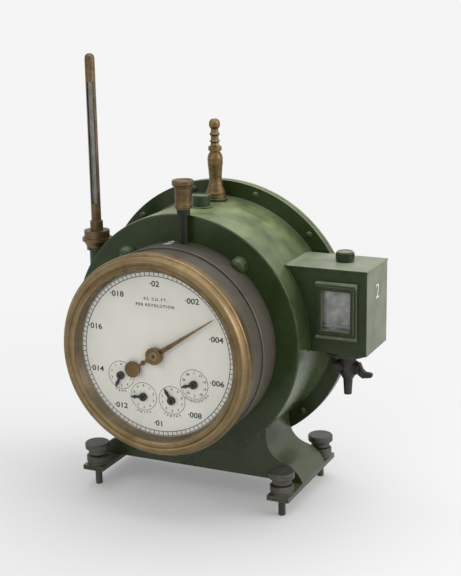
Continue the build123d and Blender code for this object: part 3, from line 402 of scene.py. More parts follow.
brass = {"fineness": 900.0, "patch": 30.0, "dark": (0.09, 0.06, 0.026), "light": (0.21, 0.15, 0.072),
         "bright": (0.34, 0.25, 0.14), "wornAndLitColour": (0.55, 0.43, 0.26), "streak": 0.5, "wearAndHighlight": 0.6, "wearAndHighlightWidth": 0.0007,
         "metal": 1.0, "rough": 0.36, "bump": 0.12}
darkBrass = {**brass, "dark": (0.055, 0.035, 0.019), "light": (0.16, 0.108, 0.058), "bright": (0.27, 0.195, 0.11),
             "wornAndLitColour": (0.42, 0.32, 0.19), "streak": 0.35, "rough": 0.4}
bezelBrass = turnedMaterial("bezelBrass", dialCentre, "Y", brass)
coneBrown = turnedMaterial("coneBrown", dialCentre, "Y", {
    **darkBrass, "dark": (0.12, 0.09, 0.055), "light": (0.26, 0.205, 0.13), "bright": (0.42, 0.34, 0.21),
    "rough": 0.28, "metal": 0.9})
housingBronze = turnedMaterial("housingBronze", dialCentre, "Y", {
    **darkBrass, "dark": (0.05, 0.045, 0.036), "light": (0.105, 0.093, 0.07), "bright": (0.135, 0.12, 0.09),
    "wornAndLitColour": (0.27, 0.24, 0.18), "rough": 0.42, "metal": 0.35, "patch": 16.0, "streak": 0.3})


def uprightBrass(name, node, look):
    centre = middle(node)
    return turnedMaterial(name, (centre.x, centre.y, 0), "Z", look)


outletBrass = uprightBrass("outletBrass", "outlet_hose_tail", {
    **brass, "dark": (0.06, 0.038, 0.014), "light": (0.16, 0.108, 0.048), "bright": (0.26, 0.185, 0.09)})
fillerBrass = uprightBrass("fillerBrass", "filler_cap", darkBrass)
thermoBrass = uprightBrass("thermometerBrass", "thermometer_guard", darkBrass)
inletCentre = middle("inlet_hose_tail")
inletBrass = turnedMaterial("inletBrass", (inletCentre.x, 0, inletCentre.z), "Y", darkBrass)
handBrass = turnedMaterial("handBrass", dialCentre, "Y", {
    **brass, "dark": (0.11, 0.068, 0.03), "light": (0.23, 0.15, 0.07), "bright": (0.3, 0.2, 0.1), "streak": 0.25})
screwSteel = plainMaterial("screwSteel", (0.046, 0.043, 0.035), (0.112, 0.106, 0.088), 0.52, 0.5, 90.0, 0.4, 0.35)
cockBronze = plainMaterial("cockBronze", (0.019, 0.0175, 0.014), (0.055, 0.051, 0.043), 0.48, 0.5, 80.0, 0.3, 0.3)
whiteEnamel = plainMaterial("whiteEnamel", (0.65, 0.64, 0.575), (0.72, 0.712, 0.65), 0.6, 0.0, 14.0, 0.3, 0.02)
blackInk = plainMaterial("blackInk", (0.012, 0.012, 0.012), (0.03, 0.03, 0.03), 0.6, 0.0, 200.0)
blackPaint = plainMaterial("blackPaint", (0.008, 0.008, 0.008), (0.02, 0.02, 0.019), 0.4, 0.0, 260.0)
whitePaint = plainMaterial("whitePaint", (0.55, 0.55, 0.5), (0.8, 0.8, 0.74), 0.5, 0.0, 500.0)
workBrass = plainMaterial("workBrass", (0.42, 0.29, 0.1), (0.66, 0.49, 0.2), 0.32, 1.0, 90.0)
workSteel = plainMaterial("workSteel", (0.28, 0.28, 0.28), (0.45, 0.45, 0.46), 0.3, 1.0, 90.0)
tinned = plainMaterial("tinnedSheet", (0.4, 0.4, 0.39), (0.58, 0.58, 0.56), 0.42, 0.9, 40.0)
rubber = plainMaterial("gasketRubber", (0.012, 0.012, 0.012), (0.03, 0.03, 0.03), 0.75, 0.0, 120.0)


def glassMaterial(name, tint, rough, clear):
    made, tree, shader = newMaterial(name)
    spot = objectVector(tree)
    tones = place(tree, mottle, Vector=spot, Scale=60.0, Dark=tint, Light=tuple(min(1, c * 1.04) for c in tint))
    feed(tree, shader.inputs["Base Color"], tones["Colour"])
    feed(tree, shader.inputs["Roughness"], spread(tree, tones["Value"], 0, 1, rough, rough + 0.03))
    shader.inputs["Metallic"].default_value = 0
    shader.inputs["Transmission Weight"].default_value = 1
    shader.inputs["IOR"].default_value = clear
    return made


dialGlass = glassMaterial("dialGlass", (0.985, 0.99, 0.985), 0.0, 1.06)
milkGlass = plainMaterial("milkGlass", (0.13, 0.13, 0.12), (0.24, 0.24, 0.22), 0.2, 0.0, 90.0, 0.6, 0.02)


def twoPartMaterial(name, first, second, axis, at, above):
    # Blends two looks, each a colour pair with roughness and metal, at one height along an axis.
    made, tree, shader = newMaterial(name)
    spot = objectVector(tree)
    parts = addNode(tree, "ShaderNodeSeparateXYZ")
    feed(tree, parts.inputs[0], spot)
    wander = maths(tree, "MULTIPLY", maths(tree, "SUBTRACT", noiseAt(tree, spot, 260.0), 0.5), 0.0016)
    along = maths(tree, "ADD", parts.outputs[axis], wander)
    mask = spread(tree, along, at - 0.0002, at + 0.0002, *((0.0, 1.0) if above else (1.0, 0.0)))
    sides = []
    for look in (first, second):
        tones = place(tree, mottle, Vector=spot, Scale=look["patch"], Dark=look["dark"], Light=look["light"])
        sides.append(tones["Colour"])
    feed(tree, shader.inputs["Base Color"], blendColour(tree, mask, sides[0], sides[1]))
    for socket, key in (("Roughness", "rough"), ("Metallic", "metal")):
        feed(tree, shader.inputs[socket], spread(tree, mask, 0, 1, first[key], second[key]))
    shader.inputs["Specular IOR Level"].default_value = 0.2
    bump(tree, shader, noiseAt(tree, spot, 500.0), 0.06, softEdge=0.0003)
    return made


greenLook = {"patch": 60.0, "dark": (0.008, 0.012, 0.006), "light": (0.016, 0.024, 0.01), "rough": 0.36, "metal": 0.0}
brassLook = {"patch": 60.0, "dark": (0.058, 0.04, 0.018), "light": (0.175, 0.126, 0.06), "rough": 0.4, "metal": 1.0}
workLook = {"patch": 90.0, "dark": (0.42, 0.29, 0.1), "light": (0.66, 0.49, 0.2), "rough": 0.32, "metal": 1.0}
blackLook = {"patch": 260.0, "dark": (0.008, 0.008, 0.008), "light": (0.02, 0.02, 0.019), "rough": 0.4, "metal": 0.0}
brownLook = {"patch": 200.0, "dark": (0.03, 0.02, 0.012), "light": (0.09, 0.06, 0.032), "rough": 0.5, "metal": 0.8}
fillerLow, fillerHigh = boxOf("filler_tube")
fillerPaint = twoPartMaterial("fillerPaint", greenLook, brassLook, "Z", fillerHigh.z - 0.0176, True)
arborBrass = twoPartMaterial("arborBrass", workLook, blackLook, "Y", dialFace, False)
shaftSteel = twoPartMaterial("shaftSteel", {**workLook, "dark": (0.28, 0.28, 0.28), "light": (0.45, 0.45, 0.46)},
                             brownLook, "Y", dialFace, False)


def windowMaterial():
    # Old window glass: clouded, scratched along the water line.
    made, tree, shader = newMaterial("clayedWindow")
    centre = middle("level_glass")
    spot = objectVector(tree, centre)
    parts = addNode(tree, "ShaderNodeSeparateXYZ")
    feed(tree, parts.inputs[0], spot)
    low = spread(tree, parts.outputs["Z"], 0.004, -0.014)
    scratch = addNode(tree, "ShaderNodeMapping")
    feed(tree, scratch.inputs["Vector"], spot)
    scratch.inputs["Scale"].default_value = (90, 90, 420)
    scratch.inputs["Rotation"].default_value = (0, 0.16, 0)
    lines = noiseAt(tree, scratch.outputs[0], 1.0, 6.0, 0.7)
    streaks = maths(tree, "MULTIPLY", spread(tree, lines, 0.52, 0.66), low, clamp=True)
    haze = noiseAt(tree, spot, 110.0, 5.0)
    base = blendColour(tree, spread(tree, haze, 0.35, 0.65), (0.15, 0.15, 0.145), (0.36, 0.36, 0.34))
    shaded = blendColour(tree, maths(tree, "MULTIPLY", low, 0.55), base, (0.07, 0.07, 0.08))
    feed(tree, shader.inputs["Base Color"], blendColour(tree, streaks, shaded, (0.42, 0.42, 0.42)))
    shader.inputs["Roughness"].default_value = 0.12
    shader.inputs["Specular IOR Level"].default_value = 0.6
    bump(tree, shader, lines, 0.12, 0.0001)
    return made


windowGlass = windowMaterial()

finishes = (
    (castGreen, ("drum_casing", "rear_cover", "cover_bolts", "cover_nuts", "housing_dome_nuts", "casing_plug",
                 "thermometer_pocket")),
    (sheetGreen, ("level_box", "level_box_lid", "level_box_plug", "window_frame")),
    (dullGreen, ("side_sheet_left", "side_sheet_right", "stand_front_plate", "stand_rear_plate", "foot_bar_left",
                 "foot_bar_right")),
    (bezelBrass, ("dial_bezel",)),
    (coneBrown, ("dial_inner_ring",)),
    (housingBronze, ("dial_housing",)),
    (outletBrass, ("outlet_hose_tail",)),
    (inletBrass, ("inlet_hose_tail",)),
    (fillerPaint, ("filler_tube",)),
    (fillerBrass, ("filler_cap",)),
    (thermoBrass, ("thermometer_guard", "thermometer_union_nut")),
    (handBrass, ("main_hand",)),
    (screwSteel, ("levelling_screw_front_left", "levelling_screw_front_right", "levelling_screw_rear_left",
                  "levelling_screw_rear_right", "lock_nuts")),
    (cockBronze, ("drain_flange", "drain_cock_body", "drain_cock_key")),
    (whiteEnamel, ("dial_plate",)),
    (blackPaint, ("hundredths_hand", "tenths_hand", "units_hand", "tens_hand")),
    (workBrass, ("counter_front_plate", "counter_back_plate", "link_arbor", "front_bearing", "gland_nut",
                 "rear_bearing")),
    (arborBrass, ("hundredths_arbor", "tenths_arbor", "units_arbor", "tens_arbor")),
    (shaftSteel, ("drum_shaft",)),
    (workSteel, ("counter_pillars", "level_hook", "window_clamp")),
    (tinned, ("measuring_drum", "inlet_pipe")),
    (rubber, ("rear_gasket",)),
    (dialGlass, ("dial_glass",)),
    (windowGlass, ("level_glass",)),
    (milkGlass, ("thermometer_glass",)),
)
for material, names in finishes:
    for name in names:
        for slot in cadNodes[name].material_slots:
            slot.material = material
print("finishes given to the nodes")


# Floor: keeps the shadow near the object, lightened there by a painted glow share, and fades to the white background
def makeFloor():
    work = bmesh.new()
    bmesh.ops.create_circle(work, cap_ends=True, segments=96, radius=6.0)
    mesh = bpy.data.meshes.new("floor")
    work.to_mesh(mesh)
    work.free()
    floor = bpy.data.objects.new("floor", mesh)
    bpy.context.collection.objects.link(floor)
    made, tree, shader = newMaterial("floorPaper")
    spot = objectVector(tree)
    paper = noiseAt(tree, spot, 3.0)
    feed(tree, shader.inputs["Base Color"], blendColour(tree, paper, (0.74, 0.74, 0.74), (0.76, 0.76, 0.76)))
    shader.inputs["Roughness"].default_value = 0.9
    shader.inputs["Specular IOR Level"].default_value = 0.1
    glow = addNode(tree, "ShaderNodeEmission")
    glow.inputs["Color"].default_value = (light["whiteLevel"],) * 3 + (1,)
    reach = addNode(tree, "ShaderNodeVectorMath", operation="LENGTH")
    feed(tree, reach.inputs[0], spot)
    # The least glow share near the object is painted light that lifts the object's shadow.
    nearest, farthest, shadowLiftShare = light["floorGlow"]
    far = spread(tree, reach.outputs["Value"], nearest, farthest, shadowLiftShare, 1.0)
    mix = addNode(tree, "ShaderNodeMixShader")
    feed(tree, mix.inputs[0], maths(tree, "MULTIPLY", far, backgroundRays(tree)))
    tree.links.new(shader.outputs[0], mix.inputs[1])
    tree.links.new(glow.outputs[0], mix.inputs[2])
    out = next(n for n in tree.nodes if n.bl_idname == "ShaderNodeOutputMaterial")
    tree.links.new(mix.outputs[0], out.inputs[0])
    mesh.materials.append(made)


makeFloor()
print("floor laid")


# Mesh helpers
def keep(name, mesh, material, body="meter"):
    # Links a finished mesh as a piece of the object and lets it ride.
    mesh.name = name
    mesh.materials.clear()
    mesh.materials.append(material)
    piece = bpy.data.objects.new(name, mesh)
    bpy.context.collection.objects.link(piece)
    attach(piece, body)
    return piece


def joined(meshes):
    # One mesh from several (mesh, matrix) pairs.
    work = bmesh.new()
    for part, matrix in meshes:
        part.transform(matrix)
        work.from_mesh(part)
        bpy.data.meshes.remove(part)
    mesh = bpy.data.meshes.new("joined")
    work.to_mesh(mesh)
    work.free()
    return mesh


def textMesh(words, height, spacing=1.0, thick=0.05, weight=0.0):
    # Words as a thin raised mesh, upright in XY, centred; height and stroke weight in mm.
    curve = bpy.data.curves.new("words", "FONT")
    curve.body = words
    curve.size = height * 1.38 * mm
    curve.offset = weight * mm
    curve.align_x = "CENTER"
    curve.align_y = "CENTER"
    curve.space_character = spacing
    curve.extrude = thick / 2 * mm
    curve.resolution_u = 3
    holder = bpy.data.objects.new("words", curve)
    bpy.context.collection.objects.link(holder)
    bpy.context.view_layer.update()
    mesh = bpy.data.meshes.new_from_object(holder.evaluated_get(bpy.context.evaluated_depsgraph_get()))
    bpy.data.objects.remove(holder)
    bpy.data.curves.remove(curve)
    return mesh


faceFront = Matrix.Rotation(math.radians(90), 4, "X")  # lays an XY mesh against the dial, read from -Y


def onDial(x, z, lift=0.06, turn=0.0):
    # Matrix for a mesh printed on the dial at x, z mm from the centre.
    spot = dialCentre + Vector((x * mm, -lift * mm, z * mm))
    return Matrix.Translation(spot) @ faceFront @ Matrix.Rotation(turn, 4, "Z")


# Dial print
dial = {
    "numbers": (".02", ".002", ".004", ".006", ".008", ".01", ".012", ".014", ".016", ".018"),
    "numberRing": 54.3,
    "numberHeight": 4.35,
    "ringOuter": 63.4,
    "ringInner": 60.3,
    "ringLine": 0.48,
    "numberWidth": 1.13,
    "numberWeight": 0.12,
    "rightInset": 2.4,
    "divisions": 100,
    "titleLines": ((".02 CU.FT.", 42.6, 2.2, 1.6), ("PER REVOLUTION", 37.8, 2.2, 1.38)),
}

registers = {
    "reach": 36.3,
    "step": 38.36,
    "radii": (11.4, 10.9, 10.9, 10.9),
    "line": 0.28,
    "digitRing": 0.78,
    "digitHeight": 1.9,
    "labelHeight": 1.65,
    "labelTurns": (12, 0, 0, -4),
    "dials": (
        ("HUNDREDTHS", 1.5, True, (".1", ".12", ".14", ".16", ".18", ".2", ".02", ".04", ".06", ".08")),
        ("TENTHS", 0.5, False, tuple("0123456789")),
        ("UNITS", -0.5, True, tuple("0123456789")),
        ("TENS", -1.5, False, tuple("0123456789")),
    ),
}


def dotted(words):
    return words.replace(".", "·", 1) if words.startswith(".") else words


def dialNumbers():
    parts = []
    for i, words in enumerate(dial["numbers"]):
        turn = math.radians(36 * i)
        x, z = dial["numberRing"] * math.sin(turn), dial["numberRing"] * math.cos(turn)
        x -= dial["rightInset"] * max(0.0, math.sin(turn))
        wide = Matrix.Diagonal((dial["numberWidth"], 1, 1, 1))
        mesh = textMesh(dotted(words), dial["numberHeight"], 1.0, weight=dial["numberWeight"])
        parts.append((mesh, onDial(x, z) @ wide))
    for words, height, size, spacing in dial["titleLines"]:
        parts.append((textMesh(dotted(words), size, spacing, weight=0.09), onDial(0, height)))
    keep("dialNumbers", joined(parts), blackInk)


def registerCentres():
    spots = []
    for label, step, clockwise, digits in registers["dials"]:
        turn = math.radians(-90 + registers["step"] * step)
        spots.append((registers["reach"] * math.cos(turn), registers["reach"] * math.sin(turn)))
    return spots


def registerNumbers():
    parts = []
    looks = zip(registers["dials"], registerCentres(), registers["radii"], registers["labelTurns"])
    for (label, step, clockwise, digits), centre, radius, labelTurn in looks:
        way = 1 if clockwise else -1
        reach = radius * registers["digitRing"]
        for i, digit in enumerate(digits):
            angle = way * math.radians(36 * i)
            spot = onDial(centre[0] + reach * math.sin(angle), centre[1] + reach * math.cos(angle))
            parts.append((textMesh(digit, registers["digitHeight"], weight=0.05), spot))
        gap = math.radians(9.8 if len(label) > 7 else 12.0)
        for i, letter in enumerate(label):
            angle = math.radians(labelTurn) + (i - (len(label) - 1) / 2) * gap
            x = centre[0] + (radius + 1.9) * math.sin(angle)
            z = centre[1] - (radius + 1.9) * math.cos(angle)
            parts.append((textMesh(letter, registers["labelHeight"], weight=0.07), onDial(x, z, turn=angle)))
    keep("registerNumbers", joined(parts), blackInk)


# A geometry tree that lays ticks between two rings; used by the dial and the small registers
def geometryTree(name, inputs):
    tree = bpy.data.node_groups.new(name, "GeometryNodeTree")
    tree.interface.new_socket("Geometry", in_out="OUTPUT", socket_type="NodeSocketGeometry")
    sockets = {}
    for label, kind, start in inputs:
        socket = tree.interface.new_socket(label, in_out="INPUT", socket_type=kind)
        socket.default_value = start
        sockets[label] = socket.identifier
    return tree, addNode(tree, "NodeGroupInput").outputs, addNode(tree, "NodeGroupOutput").inputs, sockets


def endTree(tree, shape, material, target):
    real = addNode(tree, "GeometryNodeRealizeInstances")
    painted = addNode(tree, "GeometryNodeSetMaterial")
    painted.inputs["Material"].default_value = material
    feed(tree, real.inputs[0], shape)
    feed(tree, painted.inputs["Geometry"], real.outputs[0])
    feed(tree, target, painted.outputs[0])


def runTree(tree, sockets, values):
    # Evaluates a tree on an empty mesh and gives a plain mesh.
    holder = bpy.data.objects.new("holder", bpy.data.meshes.new("holder"))
    bpy.context.collection.objects.link(holder)
    modifier = holder.modifiers.new("tree", "NODES")
    modifier.node_group = tree
    for label, value in values.items():
        modifier[sockets[label]] = value
    bpy.context.view_layer.update()
    mesh = bpy.data.meshes.new_from_object(holder.evaluated_get(bpy.context.evaluated_depsgraph_get()))
    holder.modifiers.clear()
    bpy.data.objects.remove(holder)
    return mesh


def makeRingTree():
    tree, given, out, sockets = geometryTree("divisionRing", (
        ("Outer", "NodeSocketFloat", 0.0634), ("Inner", "NodeSocketFloat", 0.0603), ("Line", "NodeSocketFloat", 0.0003),
        ("Count", "NodeSocketInt", 100), ("Thickness", "NodeSocketFloat", 0.00005),
    ))
    middleOf = maths(tree, "MULTIPLY", maths(tree, "ADD", given["Outer"], given["Inner"]), 0.5)
    length = maths(tree, "SUBTRACT", given["Outer"], given["Inner"])
    places = addNode(tree, "GeometryNodeMeshCircle")
    feed(tree, places.inputs["Vertices"], given["Count"])
    feed(tree, places.inputs["Radius"], middleOf)
    tick = addNode(tree, "GeometryNodeMeshCube")
    size = addNode(tree, "ShaderNodeCombineXYZ")
    feed(tree, size.inputs["X"], length)
    feed(tree, size.inputs["Y"], given["Line"])
    feed(tree, size.inputs["Z"], given["Thickness"])
    feed(tree, tick.inputs["Size"], size.outputs[0])
    order = addNode(tree, "GeometryNodeInputIndex")
    share = maths(tree, "DIVIDE", order.outputs[0], given["Count"])
    turn = addNode(tree, "ShaderNodeCombineXYZ")
    feed(tree, turn.inputs["Z"], maths(tree, "MULTIPLY", share, 2 * math.pi))
    ticks = addNode(tree, "GeometryNodeInstanceOnPoints")
    feed(tree, ticks.inputs["Points"], places.outputs["Mesh"])
    feed(tree, ticks.inputs["Instance"], tick.outputs["Mesh"])
    feed(tree, ticks.inputs["Rotation"], turn.outputs[0])
    strip = addNode(tree, "GeometryNodeCurvePrimitiveQuadrilateral")
    feed(tree, strip.inputs["Width"], given["Line"])
    feed(tree, strip.inputs["Height"], given["Thickness"])
    both = addNode(tree, "GeometryNodeJoinGeometry")
    for edge in ("Outer", "Inner"):
        circle = addNode(tree, "GeometryNodeCurvePrimitiveCircle")
        circle.inputs["Resolution"].default_value = 120
        feed(tree, circle.inputs["Radius"], given[edge])
        line = addNode(tree, "GeometryNodeCurveToMesh")
        feed(tree, line.inputs["Curve"], circle.outputs[0])
        feed(tree, line.inputs["Profile Curve"], strip.outputs[0])
        tree.links.new(line.outputs[0], both.inputs[0])
    tree.links.new(ticks.outputs[0], both.inputs[0])
    endTree(tree, both.outputs[0], blackInk, out["Geometry"])
    return tree, sockets


def dialRings():
    tree, sockets = makeRingTree()
    main = {"Outer": dial["ringOuter"] * mm, "Inner": dial["ringInner"] * mm, "Line": dial["ringLine"] * mm,
            "Count": dial["divisions"], "Thickness": 0.00005}
    keep("dialScale", joined([(runTree(tree, sockets, main), onDial(0, 0))]), blackInk)
    parts = []
    for centre, radius in zip(registerCentres(), registers["radii"]):
        small = {"Outer": radius * mm, "Inner": (radius - 0.04) * mm, "Line": registers["line"] * mm, "Count": 10,
                 "Thickness": 0.00005}
        parts.append((runTree(tree, sockets, small), onDial(*centre)))
    keep("registerScales", joined(parts), blackInk)


dialNumbers()
registerNumbers()
dialRings()
print("dial printed")

# Turned and swept mesh pieces
def turned(profile, steps=48):
    # Closed turned mesh round Z from (radius, height) points in mm; ends lie on the axis or the profile is a ring.
    work = bmesh.new()
    rings = []
    for radius, height in profile:
        if radius < 0.001:
            rings.append([work.verts.new((0, 0, height * mm))])
            continue
        rings.append([work.verts.new((radius * mm * math.cos(2 * math.pi * k / steps),
                                      radius * mm * math.sin(2 * math.pi * k / steps), height * mm))
                      for k in range(steps)])
    pairs = list(zip(rings, rings[1:]))
    if len(rings[0]) > 1 and len(rings[-1]) > 1:
        pairs.append((rings[-1], rings[0]))
    for first, second in pairs:
        for k in range(steps):
            corners = [first[k % len(first)], first[(k + 1) % len(first)],
                       second[(k + 1) % len(second)], second[k % len(second)]]
            unique = list(dict.fromkeys(corners))
            if len(unique) > 2:
                work.faces.new(unique)
    bmesh.ops.recalc_face_normals(work, faces=work.faces)
    mesh = bpy.data.meshes.new("turned")
    work.to_mesh(mesh)
    work.free()
    smoothed(mesh)
    return mesh


def smoothed(mesh, angle=35):
    mesh.shade_smooth()
    mesh.set_sharp_from_angle(angle=math.radians(angle))


def swept(points, radius, closed=False, order=0):
    # Tube of the given radius in mm through points in mm.
    curve = bpy.data.curves.new("run", "CURVE")
    curve.dimensions = "3D"
    curve.bevel_depth = radius * mm
    curve.bevel_resolution = 2
    curve.use_fill_caps = True
    line = curve.splines.new("POLY")
    line.points.add(len(points) - 1)
    for point, spot in zip(line.points, points):
        point.co = (*(Vector(spot) * mm), 1)
    line.use_cyclic_u = closed
    holder = bpy.data.objects.new("run", curve)
    bpy.context.collection.objects.link(holder)
    bpy.context.view_layer.update()
    mesh = bpy.data.meshes.new_from_object(holder.evaluated_get(bpy.context.evaluated_depsgraph_get()))
    bpy.data.objects.remove(holder)
    bpy.data.curves.remove(curve)
    smoothed(mesh, 60)
    return mesh


def slottedHead(radius, height, slot):
    # Domed screw head with a slot across, standing on XY.
    head = turned(((0, height), (radius * 0.55, height * 0.92), (radius * 0.9, height * 0.6), (radius, 0.1),
                   (radius, -0.4), (0, -0.4)), 32)
    cutter = bmesh.new()
    bmesh.ops.create_cube(cutter, size=1, matrix=Matrix.Translation((0, 0, height * mm))
                          @ Matrix.Diagonal((radius * 3 * mm, slot * mm, height * mm, 1)))
    tool = bpy.data.objects.new("cutter", bpy.data.meshes.new("cutter"))
    cutter.to_mesh(tool.data)
    cutter.free()
    holder = bpy.data.objects.new("head", head)
    for made in (tool, holder):
        bpy.context.collection.objects.link(made)
    cut = holder.modifiers.new("slot", "BOOLEAN")
    cut.operation = "DIFFERENCE"
    cut.object = tool
    bpy.context.view_layer.update()
    mesh = bpy.data.meshes.new_from_object(holder.evaluated_get(bpy.context.evaluated_depsgraph_get()))
    holder.modifiers.clear()
    for made in (tool, holder):
        bpy.data.objects.remove(made)
    smoothed(mesh)
    return mesh


def spot(x, y, z):
    return Matrix.Translation(Vector((x, y, z)) * mm)


# Main hand's screw
handLow, handHigh = boxOf("main_hand")
handScrew = {"radius": 1.5, "height": 0.8, "slot": 0.5, "turn": 30, "collar": 3.4, "collarHeight": 0.3}


def makeHandScrew():
    head = slottedHead(handScrew["radius"], handScrew["height"], handScrew["slot"])
    front = Matrix.Translation((0, boxOf("drum_shaft")[0].y, axisZ)) @ faceFront @ Matrix.Rotation(math.radians(handScrew["turn"]), 4, "Z")
    keep("handScrew", joined([(head, front)]), blackPaint, "measuring_drum_body")
    collar = turned(((handScrew["collar"], -0.02), (handScrew["collar"] - 0.3, handScrew["collarHeight"]),
                     (handScrew["radius"], handScrew["collarHeight"] * 0.6), (handScrew["radius"], -0.02)), 40)
    hub = Matrix.Translation((0, handLow.y, axisZ)) @ faceFront
    keep("handCollar", joined([(collar, hub)]), coneBrown, "measuring_drum_body")


makeHandScrew()

# Bead in the corner between the rim's lip and the glass
bead = {"lip": 3.7, "width": 1.5, "height": 1.0}


def makeGlassBead():
    glassLow, glassHigh = boxOf("dial_glass")
    lip = (glassHigh.x - glassLow.x) / 2 / mm - bead["lip"]
    profile = ((lip + 0.1, 0.02), (lip + 0.1, bead["height"]), (lip - bead["width"] * 0.45, bead["height"] * 0.7),
               (lip - bead["width"], 0.02))
    front = Matrix.Translation((0, glassLow.y, axisZ)) @ faceFront
    keep("glassBead", joined([(turned(profile, 120), front)]), bezelBrass)


makeGlassBead()

# Housing: small screws beside the domed nuts, and the painted figure
housingLow, housingHigh = boxOf("dial_housing")
housing = {"screwAngles": (57.5, 121.2, 264.7), "screwRadius": 1.6, "screwY": -53.0, "figure": "2",
           "figureHeight": 11.5, "figureAt": (-6.5, -48.5), "coat": 0.06}
housingRadius = (housingHigh.x - housingLow.x) / 2


def makeHousingScrews():
    parts = []
    for angle in housing["screwAngles"]:
        tilt = Matrix.Rotation(math.radians(90 - angle), 4, "Y")
        place = Matrix.Translation((0, housing["screwY"] * mm, axisZ)) @ tilt @ Matrix.Translation((0, 0, housingRadius))
        parts.append((slottedHead(housing["screwRadius"], 0.7, 0.35), place))
    keep("housingScrews", joined(parts), screwSteel)


def wrapped(mesh, radius, centreX, centreY):
    # Lays a flat XY mesh over the top of the housing, its top towards the back.
    for vertex in mesh.vertices:
        angle = (vertex.co.x + centreX * mm) / radius
        reach = radius + housing["coat"] * mm + vertex.co.z
        vertex.co = (reach * math.sin(angle), vertex.co.y + centreY * mm, axisZ + reach * math.cos(angle))
    return mesh


def makeHousingFigure():
    mesh = textMesh(housing["figure"], housing["figureHeight"], weight=0.22)
    work = bmesh.new()
    work.from_mesh(mesh)
    bmesh.ops.triangulate(work, faces=work.faces)
    bmesh.ops.subdivide_edges(work, edges=work.edges, cuts=2)
    work.to_mesh(mesh)
    work.free()
    keep("housingFigure", wrapped(mesh, housingRadius, *housing["figureAt"]), whitePaint)


nuts = {"angles": (52.2, 126.5, 270.0), "half": 5.6, "front": -63.0, "back": -41.4, "wall": 2.0, "steps": 12}


def makeNutLugs():
    work = bmesh.new()
    for angle in nuts["angles"]:
        rows = []
        for k in range(nuts["steps"] + 1):
            turn = math.radians(angle + nuts["half"] * (2 * k / nuts["steps"] - 1))
            row = []
            for radius, y in ((housingRadius, nuts["front"] * mm), (housingRadius, nuts["back"] * mm),
                              (housingRadius - nuts["wall"] * mm, nuts["back"] * mm),
                              (housingRadius - nuts["wall"] * mm, nuts["front"] * mm)):
                row.append(work.verts.new((radius * math.cos(turn), y, axisZ + radius * math.sin(turn))))
            rows.append(row)
        for first, second in zip(rows, rows[1:]):
            for k in range(4):
                work.faces.new((first[k], first[(k + 1) % 4], second[(k + 1) % 4], second[k]))
        work.faces.new(rows[0])
        work.faces.new(list(reversed(rows[-1])))
    bmesh.ops.recalc_face_normals(work, faces=work.faces)
    mesh = bpy.data.meshes.new("lugs")
    work.to_mesh(mesh)
    work.free()
    smoothed(mesh)
    keep("nutLugs", mesh, housingBronze)


makeHousingScrews()
makeHousingFigure()
makeNutLugs()

# Level box: painted figure, ribs on the plug, solder seams
levelLow, levelHigh = boxOf("level_box")
plugLow, plugHigh = boxOf("level_box_plug")
box = {"figure": "2", "figureHeight": 12.0, "figureAt": (3.8, 173.2), "ribs": 44, "ribHeight": 0.25,
       "seam": 1.1, "seamSteps": 24}
casingLow, casingHigh = boxOf("drum_casing")


def makeBoxFigure():
    mesh = textMesh(box["figure"], box["figureHeight"], weight=-0.15)
    y, z = box["figureAt"]
    side = Matrix.Rotation(math.radians(90), 4, "Z") @ faceFront
    keep("boxFigure", joined([(mesh, spot(levelHigh.x / mm + 0.05, y, z) @ side)]), whitePaint)


makeBoxFigure()


def makeRibTree():
    # Upright ribs round a head: named sizes, one rib laid at each point of a circle.
    tree, given, out, sockets = geometryTree("ribbedRim", (
        ("Radius", "NodeSocketFloat", 0.007), ("Height", "NodeSocketFloat", 0.005), ("Count", "NodeSocketInt", 44),
        ("Depth", "NodeSocketFloat", 0.0003), ("Width", "NodeSocketFloat", 0.0005),
    ))
    places = addNode(tree, "GeometryNodeMeshCircle")
    feed(tree, places.inputs["Vertices"], given["Count"])
    feed(tree, places.inputs["Radius"], given["Radius"])
    rib = addNode(tree, "GeometryNodeMeshCylinder")
    rib.inputs["Vertices"].default_value = 6
    feed(tree, rib.inputs["Radius"], maths(tree, "MULTIPLY", given["Width"], 0.5))
    feed(tree, rib.inputs["Depth"], given["Height"])
    size = addNode(tree, "ShaderNodeCombineXYZ")
    feed(tree, size.inputs["X"], maths(tree, "DIVIDE", given["Depth"], given["Width"]))
    size.inputs["Y"].default_value = 1
    size.inputs["Z"].default_value = 1
    order = addNode(tree, "GeometryNodeInputIndex")
    turn = addNode(tree, "ShaderNodeCombineXYZ")
    feed(tree, turn.inputs["Z"], maths(tree, "MULTIPLY", maths(tree, "DIVIDE", order.outputs[0], given["Count"]), 2 * math.pi))
    ribs = addNode(tree, "GeometryNodeInstanceOnPoints")
    feed(tree, ribs.inputs["Points"], places.outputs["Mesh"])
    feed(tree, ribs.inputs["Instance"], rib.outputs["Mesh"])
    feed(tree, ribs.inputs["Rotation"], turn.outputs[0])
    feed(tree, ribs.inputs["Scale"], size.outputs[0])
    endTree(tree, ribs.outputs[0], sheetGreen, out["Geometry"])
    return tree, sockets


ribTree, ribSockets = makeRibTree()


def ribbed(name, node, radius, low, high, count, material, body):
    centre = middle(node)
    mesh = runTree(ribTree, ribSockets, {"Radius": radius * mm, "Height": (high - low) * mm, "Count": count,
                                         "Depth": 0.0005, "Width": 0.0006})
    keep(name, joined([(mesh, Matrix.Translation((centre.x, centre.y, (low + high) / 2 * mm)))]), material, body)


ribbed("boxPlugRibs", "level_box_plug", 6.95, plugHigh.z / mm - 6.4, plugHigh.z / mm - 1.4, 40, sheetGreen,
       "box_plug_body")
print("figures, screws and ribs made")

# Solder seams where sheet meets the casing
seams = {"radius": 1.0, "fillet": 2.4, "steps": 24}
casingRadius = 95.8
casingZ = casingHigh.z


def casingSpot(z, y, centreZ, side=1):
    # Point on the casing's round wall at height z.
    return (side * math.sqrt(max(0.0, casingRadius ** 2 - (z - centreZ) ** 2)), y, z)


